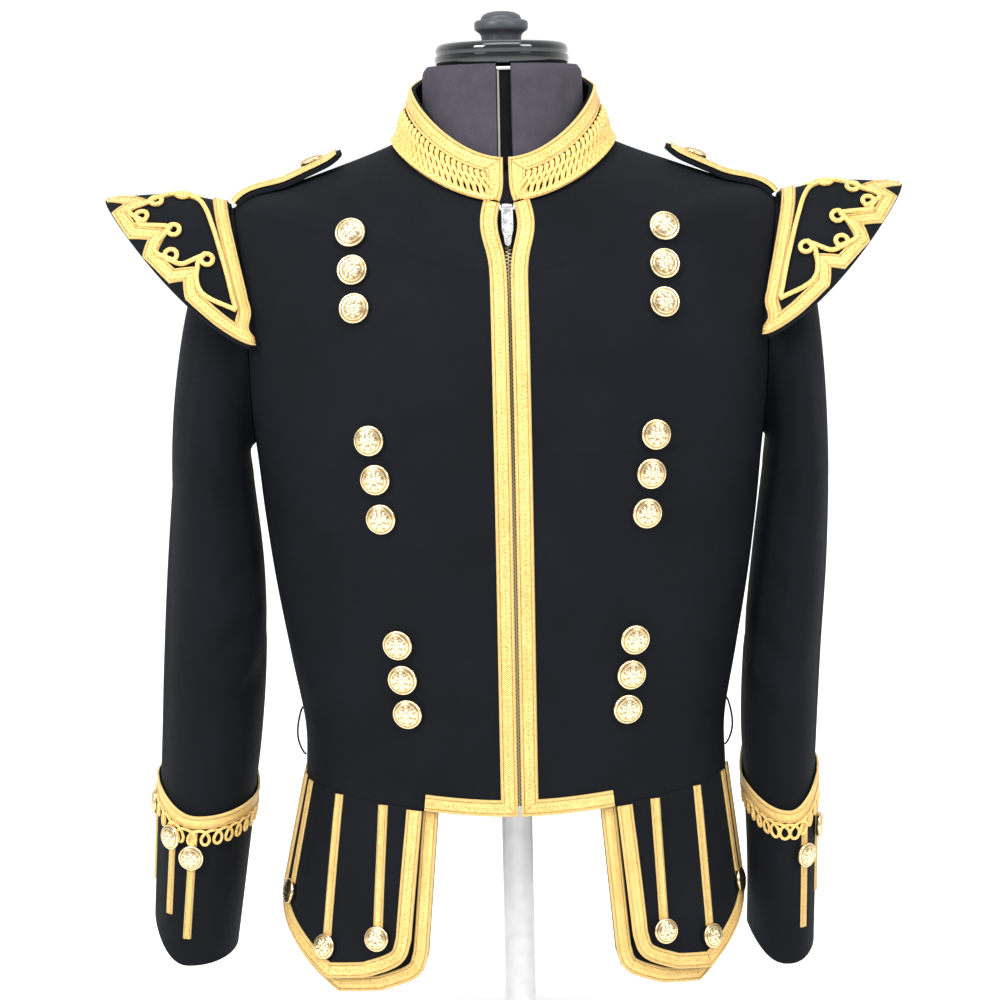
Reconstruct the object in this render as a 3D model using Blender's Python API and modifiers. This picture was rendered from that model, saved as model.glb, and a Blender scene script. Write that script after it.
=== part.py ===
"""A military doublet worn by a limbless dress form on a short stand.

Left and right are the wearer's: the left side is at +X, the front faces -Y and +Z is up.
The origin is the middle of the stand's underside. Sizes are in metres and angles in degrees.
Every cloth piece is a wall on one of a few smooth surfaces, and what is sewn on a piece is
made on the same surface, moved out.
"""

import math

import bpy
import numpy as np
from mathutils import Matrix, Vector

# Cloth, braid and clearances
CLOTH = 0.0022
COLLAR_CLOTH = 0.0030
WING_CLOTH = 0.0024
STRAP_CLOTH = 0.0045
SEAM_GAP = 0.0003
TRIM_LIFT = 0.0005
ROUND_LIFT = 0.0010
CURVED_LIFT = 0.0015
BRAID_THICK = 0.0016
BRAID_WIDTH = 0.0130
NARROW_BRAID = 0.0080
NARROW_THICK = 0.0013

# Buttons: 36 line on the breast, 32 line on the skirts, cuffs and straps
BIG_BUTTON_RADIUS = 0.0118
SMALL_BUTTON_RADIUS = 0.0100
BUTTON_HEIGHT_SHARE = 0.52
BUTTON_SIDES = 10
BUTTON_LIFT = 0.0005

# The body of the doublet, row by row from the waist seam to the neck. Heights are given at
# the centre front, the side and the centre back; the section is a rounded oval.
BODY_COLUMNS = ("z_front", "z_side", "z_back", "half_width", "front", "back", "roundness")
BODY_ROWS = (
    (0.2885, 0.3065, 0.3000, 0.1690, 0.1090, 0.0980, 2.30),  # waist seam
    (0.3420, 0.3450, 0.3430, 0.1690, 0.1085, 0.0965, 2.30),
    (0.4000, 0.4000, 0.4000, 0.1785, 0.1125, 0.1000, 2.32),
    (0.4600, 0.4600, 0.4600, 0.1885, 0.1185, 0.1060, 2.35),
    (0.5150, 0.5150, 0.5150, 0.1955, 0.1235, 0.1120, 2.40),
    (0.5650, 0.5700, 0.5700, 0.2010, 0.1245, 0.1165, 2.45),  # armhole bottom
    (0.6200, 0.6300, 0.6300, 0.2095, 0.1205, 0.1185, 2.50),
    (0.6680, 0.6900, 0.6900, 0.2145, 0.1110, 0.1140, 2.42),
    (0.7040, 0.7570, 0.7450, 0.2115, 0.0985, 0.1010, 2.20),  # shoulder point
    (0.7220, 0.7725, 0.7760, 0.1700, 0.0905, 0.0900, 2.12),
    (0.7390, 0.7875, 0.8030, 0.1270, 0.0830, 0.0795, 2.08),
    (0.7550, 0.8020, 0.8280, 0.0855, 0.0760, 0.0700, 2.05),  # neck seam
)
ARMPIT_ROW = 5.0
SHOULDER_ROW = 8.0
NECK_ROW = 11.0
SHOULDER_FALL = 1.4

# The front edges stand a zip's width apart, and open round the slider
ZIP_HALF_GAP = 0.0025
ZIP_OPENING = 0.0062
ZIP_OPENING_HEIGHT = 0.740
ZIP_OPENING_SPREAD = 0.020
HEM_BRAID_REACH = 0.0730

# Columns of the front and back panels, as shares of the way from the middle to the side seam
FRONT_SHARES = (0.0, 0.20, 0.38, 0.54, 0.68, 0.80, 0.90, 1.0)
BACK_SHARES = (0.0, 0.28, 0.50, 0.68, 0.84, 1.0)
SEAM_ANGLE = 0.0010

# Armhole: how far it is cut into the front and back, as an angle about the body's axis
ARMHOLE_CUT = 14.0

# Collar, from the neck seam to its top edge, with the same columns as the body
COLLAR_ROWS = (
    (0.7561, 0.8031, 0.8291, 0.0855, 0.0760, 0.0700, 2.05),
    (0.7670, 0.8170, 0.8430, 0.0800, 0.0712, 0.0668, 2.05),
    (0.7785, 0.8315, 0.8575, 0.0750, 0.0668, 0.0640, 2.05),
    (0.7900, 0.8460, 0.8720, 0.0710, 0.0630, 0.0622, 2.05),
)
COLLAR_TOP_ROW = 3.0
COLLAR_HALF_GAP = 0.0022
COLLAR_FOOT = 0.13
FRET_LOW = 0.10
FRET_HIGH = 1.80
FRET_THICK = 0.0014

# Sleeves below the armhole: distance of the inner and outer side from the middle of the
# body, and the front and back, by height. The right sleeve hangs further out than the left.
SLEEVE_COLUMNS = ("z", "inner", "outer", "front", "back")
SLEEVE_ROWS = {
    -1: (
        (0.145, 0.2330, 0.2960, -0.0590, 0.0400),
        (0.200, 0.2245, 0.2925, -0.0640, 0.0430),
        (0.260, 0.2155, 0.2885, -0.0680, 0.0480),
        (0.330, 0.2045, 0.2840, -0.0715, 0.0560),
        (0.400, 0.1985, 0.2800, -0.0740, 0.0650),
        (0.470, 0.1985, 0.2750, -0.0750, 0.0730),
        (0.540, 0.2050, 0.2685, -0.0735, 0.0770),
    ),
    1: (
        (0.135, 0.1860, 0.2370, -0.0590, 0.0420),
        (0.200, 0.1880, 0.2375, -0.0640, 0.0450),
        (0.260, 0.1870, 0.2385, -0.0680, 0.0500),
        (0.330, 0.1830, 0.2410, -0.0710, 0.0580),
        (0.400, 0.1865, 0.2445, -0.0735, 0.0670),
        (0.470, 0.1945, 0.2495, -0.0745, 0.0750),
        (0.540, 0.2040, 0.2525, -0.0735, 0.0790),
    ),
}
SLEEVE_SIDES = 16
SLEEVE_ROUNDNESS = 2.25
SLEEVE_TOP = 0.540
# Cuff seam and cuff edge heights at the inner side, front, outer side and back
CUFF_SEAM = {-1: (0.284, 0.277, 0.303, 0.318), 1: (0.284, 0.270, 0.302, 0.318)}
CUFF_EDGE = {-1: (0.164, 0.161, 0.196, 0.190), 1: (0.168, 0.150, 0.162, 0.182)}
CUFF_PROUD = 0.0012
CUFF_LOOPS = 28
CUFF_LOOP_DEPTH = 0.0085
CUFF_BAND = 0.0110
# Cuff buttons: angle round the sleeve, counted from the inner side by way of the front,
# drop below the cuff seam, and drop of the end of the braid below it
CUFF_BUTTONS = {
    -1: ((95.0, 0.026, 0.093), (120.0, 0.017, 0.080), (163.0, 0.014, 0.076)),
    1: ((113.0, 0.035, 0.095), (150.0, 0.036, 0.090), (184.0, 0.031, 0.085)),
}

# Shoulder wings
WING_LOW_ROW = 6.55
WING_INNER_ANGLE = 18.0
WING_START = 3.0
WING_TIP = Vector((0.3135, 0.0, 0.7635))
WING_LOW = Vector((0.1920, 0.0760, 0.6490))
WING_DOME = 0.006
WING_INNER_RISE = 1.9
WING_OUTER_RISE = 1.5
WING_LIFT = 0.0046
WING_BRAID = 0.0112
# Centre line of the braid on half a wing, from its low point: up its inner edge, and up the
# zigzag along its free edge. Angle round the wing and share of its width
WING_SEAM_LINE = (
    (9.0, 0.45), (22.0, 0.13), (32.0, 0.09), (45.0, 0.08), (60.0, 0.08), (75.0, 0.09),
    (90.0, 0.11),
)
WING_ZIGZAG = (
    (19.5, 0.61), (30.5, 0.74), (40.0, 0.58), (38.5, 0.84), (47.5, 0.90), (56.0, 0.70),
    (57.5, 0.92), (69.0, 0.93), (75.5, 0.75), (84.0, 0.93), (90.0, 0.93),
)

# Shoulder straps
STRAP_WIDTH = 0.046
STRAP_LIFT = 0.0004
STRAP_END_LIFT = 0.0075
STRAP_ROWS = (8.05, 10.05)

# Skirts. Angle about the body's axis and drop below the waist seam of each outline point
SKIRT_OUTLINE = (
    (36.5, 0.0), (36.5, 0.100), (37.6, 0.113), (40.6, 0.122), (48.0, 0.133), (58.5, 0.1405),
    (67.0, 0.128), (76.5, 0.113), (86.0, 0.0950), (86.0, 0.0),
)
SKIRT_COLUMNS = (36.5, 37.6, 40.6, 44.0, 48.0, 53.0, 58.5, 63.0, 67.0, 72.0, 76.5, 81.0, 86.0)
SKIRT_BRAID = 0.0121
UNDER_SKIRT_SHIFT = 5.0
UNDER_SKIRT_DROP = 0.0085
UNDER_SKIRT_LIFT = -0.0056
SKIRT_FLARE = {-1: 0.215, 1: 0.125}
SKIRT_FRONT_FLARE = 0.16
# Skirt stripes: angle of the top and of the button, and the button's drop
SKIRT_STRIPES = ((49.0, 46.0, 0.1020), (63.5, 60.0, 0.1170), (77.5, 77.0, 0.0900))

# Breast buttons: distance from the front edge and height, in three groups of three
BREAST_BUTTONS = (
    (0.1185, 0.7350), (0.1175, 0.7075), (0.1165, 0.6790),
    (0.1075, 0.5805), (0.1035, 0.5510), (0.1000, 0.5210),
    (0.0900, 0.4230), (0.0870, 0.3955), (0.0842, 0.3680),
)

# Zip
ZIP_TAPE_HALF = 0.0120
ZIP_TAPE_THICK = 0.0010
ZIP_CHAIN_HALF = 0.0017
ZIP_CHAIN_THICK = 0.0030
ZIP_CHAIN_RISE = 0.0024
ZIP_FOOT_ROW = 0.12
ZIP_TOP_ROW = 10.55
PULL_HINGE_HEIGHT = 0.7505
PULL_HINGE_RISE = 0.0034
PULL_LENGTH = 0.0310
PULL_WIDTH = 0.0088
PULL_THICK = 0.0017
PULL_EYE = 0.0023
PULL_BORE = 0.0016
PULL_PIN = 0.0011
SLIDER_SIZE = (0.0074, 0.0090, 0.0030)

# Dress form and stand
FORM_BOTTOM = 0.3350
# Clearance between the form and the cloth by row of the body
FORM_EASE = ((1.0, 0.0080), (4.0, 0.0080), (6.5, 0.0060), (7.4, 0.0034), (8.0, 0.0020),
             (8.6, 0.0017), (10.1, 0.0010), (11.0, 0.0026))
FORM_ZIP_EASE = 0.0034
FORM_SIDE_CUT = 1.2
FORM_NECK_ROWS = (
    (0.7780, 0.8150, 0.8420, 0.0690, 0.0600, 0.0600, 2.05),
    (0.8020, 0.8290, 0.8480, 0.0640, 0.0558, 0.0575, 2.05),
    (0.8350, 0.8430, 0.8520, 0.0628, 0.0550, 0.0565, 2.05),
    (0.8555, 0.8560, 0.8565, 0.0622, 0.0545, 0.0560, 2.05),
    (0.8615, 0.8615, 0.8615, 0.0590, 0.0515, 0.0530, 2.05),
)
STAND_RADIUS = 0.1600
# Outline of the turned cap and knob on the neck, as radius and height, from the top down
CAP_PROFILE = (
    (0.0000, 0.9040), (0.0120, 0.9035), (0.0157, 0.9005), (0.0157, 0.8970), (0.0196, 0.8968),
    (0.0210, 0.8950), (0.0210, 0.8905), (0.0196, 0.8885), (0.0158, 0.8850), (0.0158, 0.8805),
    (0.0425, 0.8798), (0.0503, 0.8775), (0.0527, 0.8730), (0.0527, 0.8660), (0.0503, 0.8618),
    (0.0000, 0.8618),
)
# Outline of the turned stand, from the top down
STAND_PROFILE = (
    (0.0000, 0.3347), (0.0400, 0.3347), (0.0400, 0.3290), (0.0125, 0.3230), (0.0125, 0.0420),
    (0.0210, 0.0360), (0.0230, 0.0120), (0.1540, 0.0085), (0.1600, 0.0060), (0.1600, 0.0000),
    (0.0000, 0.0000),
)

COLOURS = {
    "wool": ((0.012, 0.014, 0.022), 0.85, 0.0),
    "gold_braid": ((0.72, 0.47, 0.12), 0.45, 0.2),
    "gilt": ((0.90, 0.68, 0.32), 0.22, 1.0),
    "zip_metal": ((0.70, 0.70, 0.70), 0.25, 1.0),
    "form_cloth": ((0.11, 0.10, 0.14), 0.9, 0.0),
    "form_plastic": ((0.015, 0.017, 0.020), 0.2, 0.0),
    "stand_paint": ((0.85, 0.85, 0.85), 0.4, 0.0),
}


class Surface:
    """A smooth surface given by two numbers, with its outward side."""

    STEP = 1e-4

    def __init__(self, shape, sense=1.0):
        self.shape = shape
        self.sense = sense

    def slopes(self, p, q):
        """How far the point moves for a unit of each number."""
        h = self.STEP
        along_p = (self.shape(p + h, q) - self.shape(p - h, q)) / (2 * h)
        along_q = (self.shape(p, q + h) - self.shape(p, q - h)) / (2 * h)
        return along_p, along_q

    def normal(self, p, q):
        along_p, along_q = self.slopes(p, q)
        n = np.cross(along_p, along_q) * self.sense
        return n / np.linalg.norm(n, axis=-1, keepdims=True)

    def at(self, p, q, lift=0.0):
        p, q = np.broadcast_arrays(np.asarray(p, float), np.asarray(q, float))
        lift = np.asarray(lift, float)[..., None]
        return self.shape(p, q) + self.normal(p, q) * lift


def smooth_rows(rows, v):
    """A smooth curve through the rows of a table, for each column, at row number v."""
    rows = np.asarray(rows, float)
    ends = 2 * rows[[0, -1]] - rows[[1, -2]]
    padded = np.concatenate([ends[:1], rows, ends[1:]])
    i = np.clip(np.floor(v).astype(int), 0, len(rows) - 2)
    f = (v - i)[..., None]
    a, b, c, d = (padded[i + k] for k in range(4))
    return 0.5 * (2 * b + (c - a) * f + (2 * a - 5 * b + 4 * c - d) * f**2
                  + (3 * b - 3 * c + d - a) * f**3)


def oval_point(angle, row):
    """Point of a body section at an angle from the centre front, in radians, left positive."""
    z_front, z_side, z_back, half_width, front, back, n = np.moveaxis(row, -1, 0)
    c, s = np.cos(angle), np.sin(angle)
    ahead = c >= 0
    depth = np.where(ahead, front, back)
    r = ((np.abs(c) / depth) ** n + (np.abs(s) / half_width) ** n) ** (-1 / n)
    fall = np.abs(c) ** SHOULDER_FALL
    z = z_side + np.where(ahead, z_front - z_side, z_back - z_side) * fall
    return np.stack([r * s, -r * c, z], axis=-1)


def body_shape(angle, v):
    return oval_point(angle, smooth_rows(BODY_ROWS, v))


def collar_shape(angle, v):
    return oval_point(angle, smooth_rows(COLLAR_ROWS, v))


BODY = Surface(body_shape)
COLLAR = Surface(collar_shape)


def row_at_height(angle, z):
    """Row number of the body at a height, for each angle."""
    rows = np.linspace(0, NECK_ROW, 441)
    angle, z = np.broadcast_arrays(np.atleast_1d(angle).astype(float), np.asarray(z, float))
    flat = [np.interp(h, body_shape(np.full_like(rows, a), rows)[:, 2], rows)
            for a, h in zip(angle.ravel(), z.ravel())]
    return np.reshape(flat, angle.shape)


def angle_at_reach(x, v):
    """Angle on the front at which the body is x from the middle, at row v."""
    x, v = np.broadcast_arrays(np.asarray(x, float), np.asarray(v, float))
    angle = x / 0.11
    for _ in range(12):
        angle = angle - (body_shape(angle, v)[..., 0] - x) / 0.14
    return angle


def front_point(x, z):
    """Angle and row of the point of the front at a distance from the middle and a height."""
    x, z = np.broadcast_arrays(np.atleast_1d(x).astype(float), np.asarray(z, float))
    angle = np.arctan2(x, 0.11)
    for _ in range(6):
        v = row_at_height(angle, z)
        angle = np.sign(x) * angle_at_reach(np.abs(x), v)
    return angle, row_at_height(angle, z)


def front_gap(z):
    """Half the distance between the front edges."""
    near = np.exp(-((z - ZIP_OPENING_HEIGHT) / ZIP_OPENING_SPREAD) ** 2)
    return ZIP_HALF_GAP + ZIP_OPENING * near


def armhole_cut(v):
    """Angle that the armhole takes from the front or back panel at row v, in radians."""
    q = np.clip((v - ARMPIT_ROW) / (SHOULDER_ROW - ARMPIT_ROW), 0, 1)
    return math.radians(ARMHOLE_CUT) * np.sqrt(1 - (1 - 2 * q) ** 2)


def ring_heights(heights, around):
    """Height at an angle round a sleeve, from those at its inner side, front, outer, back."""
    inner, front, outer, back = heights
    c, s = np.cos(around), np.sin(around)
    across = np.where(c > 0, inner, outer)
    along = np.where(s > 0, front, back)
    return across * c**2 + along * s**2


def sleeve_section(side, around, z):
    """Point of a sleeve at an angle from its inner side by way of the front, and a height."""
    rows = np.array(SLEEVE_ROWS[side])
    inner, outer, front, back = (
        np.interp(z, *smoothed_column(rows, k)) for k in range(1, 5)
    )
    c, s = np.cos(around), np.sin(around)
    power = 2 / SLEEVE_ROUNDNESS
    x = (inner + outer) / 2 - (outer - inner) / 2 * np.sign(c) * np.abs(c) ** power
    y = (front + back) / 2 - (back - front) / 2 * np.sign(s) * np.abs(s) ** power
    return np.stack([side * x, y, z], axis=-1)


def smoothed_column(rows, k):
    """Heights and values of one column of a sleeve's table, on a smooth curve."""
    v = np.linspace(0, len(rows) - 1, 121)
    fine = smooth_rows(rows, v)
    return fine[:, 0], fine[:, k]


def sleeve_shape(side):
    """Sleeve surface. 0 to 1 is the cap, from the armhole, 1 to 2 the arm and 2 to 3 the cuff."""

    def shape(around, v):
        around, v = np.broadcast_arrays(around, v)
        up = (1 - np.cos(around)) / 2
        row = ARMPIT_ROW + (SHOULDER_ROW - ARMPIT_ROW) * up
        cut = math.radians(ARMHOLE_CUT) * np.sin(around)
        start = body_shape(side * (math.pi / 2 - cut), row)
        end = sleeve_section(side, around, np.full_like(around, SLEEVE_TOP))
        leave = np.stack([side * (0.030 + 0.070 * up), -0.030 * np.sin(around),
                          -0.020 - 0.010 * up], axis=-1)
        arrive = np.stack([0 * up, 0 * up, -0.035 - 0.230 * up], axis=-1)
        t = np.clip(v, 0, 1)[..., None]
        cap = ((2 * t**3 - 3 * t**2 + 1) * start + (t**3 - 2 * t**2 + t) * leave
               + (3 * t**2 - 2 * t**3) * end + (t**3 - t**2) * arrive)
        seam = ring_heights(CUFF_SEAM[side], around)
        edge = ring_heights(CUFF_EDGE[side], around)
        arm = np.clip(v - 1, 0, 1)
        cuff = np.clip(v - 2, -1, 2)
        z = np.where(v < 2, SLEEVE_TOP + (seam - SLEEVE_TOP) * arm,
                     seam + (edge - seam) * cuff)
        below = sleeve_section(side, around, z)
        before = (v < 1)[..., None]
        over = sleeve_section(side, around, SLEEVE_TOP + np.maximum(0, 1 - v) * 0.1)
        cap = np.where(v[..., None] < 0, start + leave * v[..., None], cap)
        return np.where(before, cap, np.where(v[..., None] < 1, over, below))

    return shape


def wing_shape(side):
    """Wing surface, by the angle round the shoulder from the front and the share of width."""

    def shape(around, t):
        around, t = np.broadcast_arrays(around, t)
        s, c = np.abs(np.sin(around)), np.cos(around)
        row = WING_LOW_ROW + (SHOULDER_ROW - WING_LOW_ROW) * s**WING_INNER_RISE
        angle = side * (math.pi / 2 - math.radians(WING_INNER_ANGLE) * c)
        inner = BODY.at(angle, row, WING_LIFT)
        outer = np.stack([
            side * (WING_LOW.x + (WING_TIP.x - WING_LOW.x) * s),
            -WING_LOW.y * c,
            WING_LOW.z + (WING_TIP.z - WING_LOW.z) * s**WING_OUTER_RISE,
        ], axis=-1)
        dome = WING_DOME * 4 * t * (1 - t) * s
        swell = np.stack([0 * t, -dome * c, dome * s], axis=-1)
        return inner + (outer - inner) * t[..., None] + swell

    return shape


def skirt_shape(side, behind):
    """Skirt surface, by the angle from the centre front or back and the drop from the waist."""

    def shape(angle, drop):
        angle, drop = np.broadcast_arrays(angle, drop)
        row = np.array(BODY_ROWS[0])
        row = np.broadcast_to(row, angle.shape + row.shape).copy()
        row[..., 3] += SKIRT_FLARE[side] * drop
        row[..., 4] += SKIRT_FRONT_FLARE * drop
        row[..., 5] += SKIRT_FRONT_FLARE * drop
        turned = math.pi - angle if behind else angle
        point = oval_point(side * turned, row)
        point[..., 2] -= drop + SEAM_GAP
        return point

    return shape


SLEEVES = {side: Surface(sleeve_shape(side), -side) for side in (-1, 1)}
WINGS = {side: Surface(wing_shape(side), -side) for side in (-1, 1)}
SKIRTS = {
    (side, behind): Surface(skirt_shape(side, behind), side if behind else -side)
    for side in (-1, 1) for behind in (False, True)
}


def side_name(side):
    return "left" if side > 0 else "right"


def start_scene():
    """An empty scene with one collection for the parts and one for shapes that are joined."""
    for obj in list(bpy.data.objects):
        bpy.data.objects.remove(obj)
    parts = bpy.data.collections.new("doublet_on_form")
    helpers = bpy.data.collections.new("joined_shapes")
    bpy.context.scene.collection.children.link(parts)
    bpy.context.scene.collection.children.link(helpers)
    return parts, helpers


def make_material(name):
    colour, roughness, metallic = COLOURS[name]
    material = bpy.data.materials.new(name)
    material.use_nodes = True
    shader = material.node_tree.nodes["Principled BSDF"]
    shader.inputs["Base Color"].default_value = (*colour, 1.0)
    shader.inputs["Roughness"].default_value = roughness
    shader.inputs["Metallic"].default_value = metallic
    material.diffuse_color = (*colour, 1.0)
    return material


PARTS, HELPERS = start_scene()
MATERIALS = {name: make_material(name) for name in COLOURS}


def new_object(name, mesh, material, helper=False):
    obj = bpy.data.objects.new(name, mesh)
    if not mesh.materials:
        mesh.materials.append(MATERIALS[material])
    (HELPERS if helper else PARTS).objects.link(obj)
    if helper:
        obj.hide_render = True
        obj.display_type = "WIRE"
    return obj


def sheet_faces(rows, columns, closed):
    """Quads of a grid of points, the last column joined to the first if closed."""
    span = columns if closed else columns - 1
    return [
        (r * columns + c, r * columns + (c + 1) % columns,
         (r + 1) * columns + (c + 1) % columns, (r + 1) * columns + c)
        for r in range(rows - 1) for c in range(span)
    ]


def wall(name, surface, p, q, thickness, material, lift=0.0, closed=False, helper=False):
    """A closed cloth wall: a grid of points on a surface and the same points further in."""
    p, q = np.broadcast_arrays(np.asarray(p, float), np.asarray(q, float))
    rows, columns = p.shape
    lift = np.asarray(lift, float)
    points = np.concatenate([surface.at(p, q, lift).reshape(-1, 3),
                             surface.at(p, q, lift - thickness).reshape(-1, 3)])
    grid = np.arange(rows * columns).reshape(rows, columns)
    skin = np.array(sheet_faces(rows, columns, closed))
    if closed:
        loops = [np.append(grid[0], grid[0, 0]), np.append(grid[-1], grid[-1, 0])[::-1]]
    else:
        loops = [np.concatenate([grid[0], grid[1:, -1], grid[-1, -2::-1], grid[-2::-1, 0]])]
    within = rows * columns
    rims = [np.stack([loop[1:], loop[:-1], loop[:-1] + within, loop[1:] + within], axis=1)
            for loop in loops]
    turned = [0, 3, 2, 1]
    faces = np.concatenate([skin, skin[:, turned] + within] + rims)
    corners = points[skin]
    facing = np.cross(corners[:, 2] - corners[:, 0], corners[:, 3] - corners[:, 1])
    outward = points[skin[:, 0]] - points[skin[:, 0] + within]
    if np.sum(facing * outward) < 0:
        faces = faces[:, turned]
    mesh = bpy.data.meshes.new(name)
    mesh.from_pydata(points.tolist(), [], faces.tolist())
    mesh.shade_smooth()
    mesh.set_sharp_from_angle(angle=math.radians(40))
    return new_object(name, mesh, material, helper)


def local_frame(surface, p, q):
    """Two perpendicular directions on the surface, as a matrix from its numbers to metres."""
    along_p, along_q = surface.slopes(np.asarray(p, float), np.asarray(q, float))
    first = along_p / np.linalg.norm(along_p)
    rest = along_q - first * np.dot(along_q, first)
    second = rest / np.linalg.norm(rest)
    return np.array([[np.dot(along_p, first), np.dot(along_q, first)],
                     [0.0, np.dot(along_q, second)]])


def subdivided(surface, path, longest, closed):
    """The path with points added so that no step is longer than this, in metres."""
    path = [np.array(point, float) for point in path]
    ends = path[1:] + path[:1] if closed else path[1:]
    fine = []
    for a, b in zip(path, ends):
        length = np.linalg.norm(surface.shape(*b) - surface.shape(*a))
        count = max(1, math.ceil(length / longest))
        fine += [a + (b - a) * k / count for k in range(count)]
    return fine if closed else fine + [path[-1]]


def band_edges(surface, path, left, right, longest=0.02, closed=False):
    """Two lines on a surface, left and right of a path by these widths, with mitred corners."""
    path = subdivided(surface, path, longest, closed)
    count = len(path)
    sides = ([], [])
    for i, point in enumerate(path):
        frame = local_frame(surface, *point)
        before = path[i - 1] if closed or i > 0 else None
        after = path[(i + 1) % count] if closed or i < count - 1 else None
        ways = [frame @ (point - before)] if before is not None else []
        ways += [frame @ (after - point)] if after is not None else []
        ways = [way / np.linalg.norm(way) for way in ways]
        mean = sum(ways) / len(ways)
        across = np.array([-mean[1], mean[0]]) / max(np.dot(mean, mean), 0.25)
        for line, width in zip(sides, (left, -right)):
            reach = width[i] if np.ndim(width) else width
            line.append(point + np.linalg.solve(frame, across * reach))
    return np.array(sides[0]), np.array(sides[1])


def band(name, surface, path, left, right, thickness, material="gold_braid",
         lift=TRIM_LIFT, longest=0.02, closed=False, helper=False):
    """A flat braid that lies on a surface along a path."""
    first, second = band_edges(surface, path, left, right, longest, closed)
    p = np.stack([first[:, 0], second[:, 0]])
    q = np.stack([first[:, 1], second[:, 1]])
    return wall(name, surface, p, q, thickness, material, lift + thickness, closed, helper)


def turned_mesh(name, profile, sides):
    """A mesh turned about Z from an outline of radius and height, top to bottom."""
    outline = bpy.data.meshes.new(name + "_outline")
    outline.from_pydata([(r, 0.0, z) for r, z in profile],
                        [(k, k + 1) for k in range(len(profile) - 1)], [])
    lathe = bpy.data.objects.new(name + "_lathe", outline)
    bpy.context.scene.collection.objects.link(lathe)
    screw = lathe.modifiers.new("turn", "SCREW")
    screw.steps = sides
    screw.render_steps = sides
    screw.use_merge_vertices = True
    screw.merge_threshold = 0.00002
    bpy.context.view_layer.update()
    graph = bpy.context.evaluated_depsgraph_get()
    mesh = bpy.data.meshes.new_from_object(lathe.evaluated_get(graph))
    mesh.name = name
    mesh.shade_smooth()
    mesh.set_sharp_from_angle(angle=math.radians(35))
    bpy.data.objects.remove(lathe)
    return mesh


def button_profile(radius):
    """Outline of a domed button with a rolled rim."""
    height = radius * BUTTON_HEIGHT_SHARE
    return (
        (0.0, height), (radius * 0.62, height * 0.84), (radius, height * 0.36),
        (radius * 0.93, 0.0), (0.0, 0.0),
    )


def stand(obj, point, out):
    """Stands an object on a point, with its Z axis along a direction."""
    turn = Vector(out).to_track_quat("Z", "Y").to_matrix().to_4x4()
    obj.matrix_world = Matrix.Translation(Vector(point)) @ turn


def place_on(obj, surface, p, q, lift):
    """Stands an object on a surface, outwards."""
    p, q = np.array(float(p)), np.array(float(q))
    stand(obj, surface.at(p, q, lift), surface.normal(p, q))


def flat_under(angles, rows, angle, row):
    """Point and outward side of the flat piece of a panel's wall at an angle and a row."""
    i = int(np.clip(np.searchsorted(rows, row) - 1, 0, len(rows) - 2))
    t = (row - rows[i]) / (rows[i + 1] - rows[i])
    columns = angles[i] * (1 - t) + angles[i + 1] * t
    j = int(np.clip(np.searchsorted(columns, angle) - 1, 0, len(columns) - 2))
    u = (angle - columns[j]) / (columns[j + 1] - columns[j])
    corners = BODY.at(angles[i:i + 2, j:j + 2], rows[i:i + 2, None])
    point = ((corners[0, 0] * (1 - u) + corners[0, 1] * u) * (1 - t)
             + (corners[1, 0] * (1 - u) + corners[1, 1] * u) * t)
    out = np.cross(corners[1, 1] - corners[0, 0], corners[1, 0] - corners[0, 1])
    return point, out / np.linalg.norm(out)


def join(target, others):
    """Unites shapes that cross into one closed body."""
    for k, other in enumerate(others):
        union = target.modifiers.new(f"join_{k}", "BOOLEAN")
        union.operation = "UNION"
        union.object = other


def body_rows():
    """Row numbers for the panels. At the armhole they are those of the sleeve's points."""
    around = np.linspace(0, math.pi, SLEEVE_SIDES // 2 + 1)
    armhole = ARMPIT_ROW + (SHOULDER_ROW - ARMPIT_ROW) * (1 - np.cos(around)) / 2
    return np.concatenate([[0, 0.7, 1.4, 2.1, 2.8, 3.5, 4.25], armhole, [8.6, 9.3, 10.1, 11]])


def front_angles(rows, cut):
    """Angles of the front's columns at each row, from its edge to the side seam."""
    z_edge = body_shape(np.full_like(rows, 0.03), rows)[:, 2]
    inner = angle_at_reach(front_gap(z_edge), rows)
    outer = math.pi / 2 - cut
    return inner[:, None] + (outer - inner)[:, None] * np.array(FRONT_SHARES)


def back_angles(rows, cut):
    """Angles of the back's columns at each row, from one side seam to the other."""
    outer = (math.pi / 2 - cut)[:, None]
    shares = np.array(BACK_SHARES)
    return math.pi + outer * np.concatenate([-shares[::-1], shares[1:]])


def make_fronts():
    rows = body_rows()
    angle = front_angles(rows, armhole_cut(rows) + SEAM_ANGLE)
    for side in (-1, 1):
        columns = (side * angle)[:, ::side]
        wall(f"front_{side_name(side)}", BODY, columns, rows[:, None], CLOTH, "wool")


def make_back():
    rows = body_rows()
    wall("back", BODY, back_angles(rows, armhole_cut(rows) + SEAM_ANGLE), rows[:, None],
         CLOTH, "wool")


def collar_angles():
    """Angles of the collar's columns, from one front edge round to the other."""
    start = COLLAR_HALF_GAP / 0.07
    return np.linspace(start, 2 * math.pi - start, 33)


def make_collar():
    rows = np.linspace(0, COLLAR_TOP_ROW, 4)[:, None]
    wall("collar", COLLAR, collar_angles(), rows, COLLAR_CLOTH, "wool")


def make_collar_braid():
    """One braid from the foot of one front edge, round the top, to the other front edge."""
    stops = collar_angles()
    path = [(stops[0], COLLAR_FOOT)] + [(a, COLLAR_TOP_ROW) for a in stops]
    path += [(stops[-1], COLLAR_FOOT)]
    band("collar_braid", COLLAR, path, 0.0, BRAID_WIDTH, BRAID_THICK, lift=ROUND_LIFT)


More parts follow.
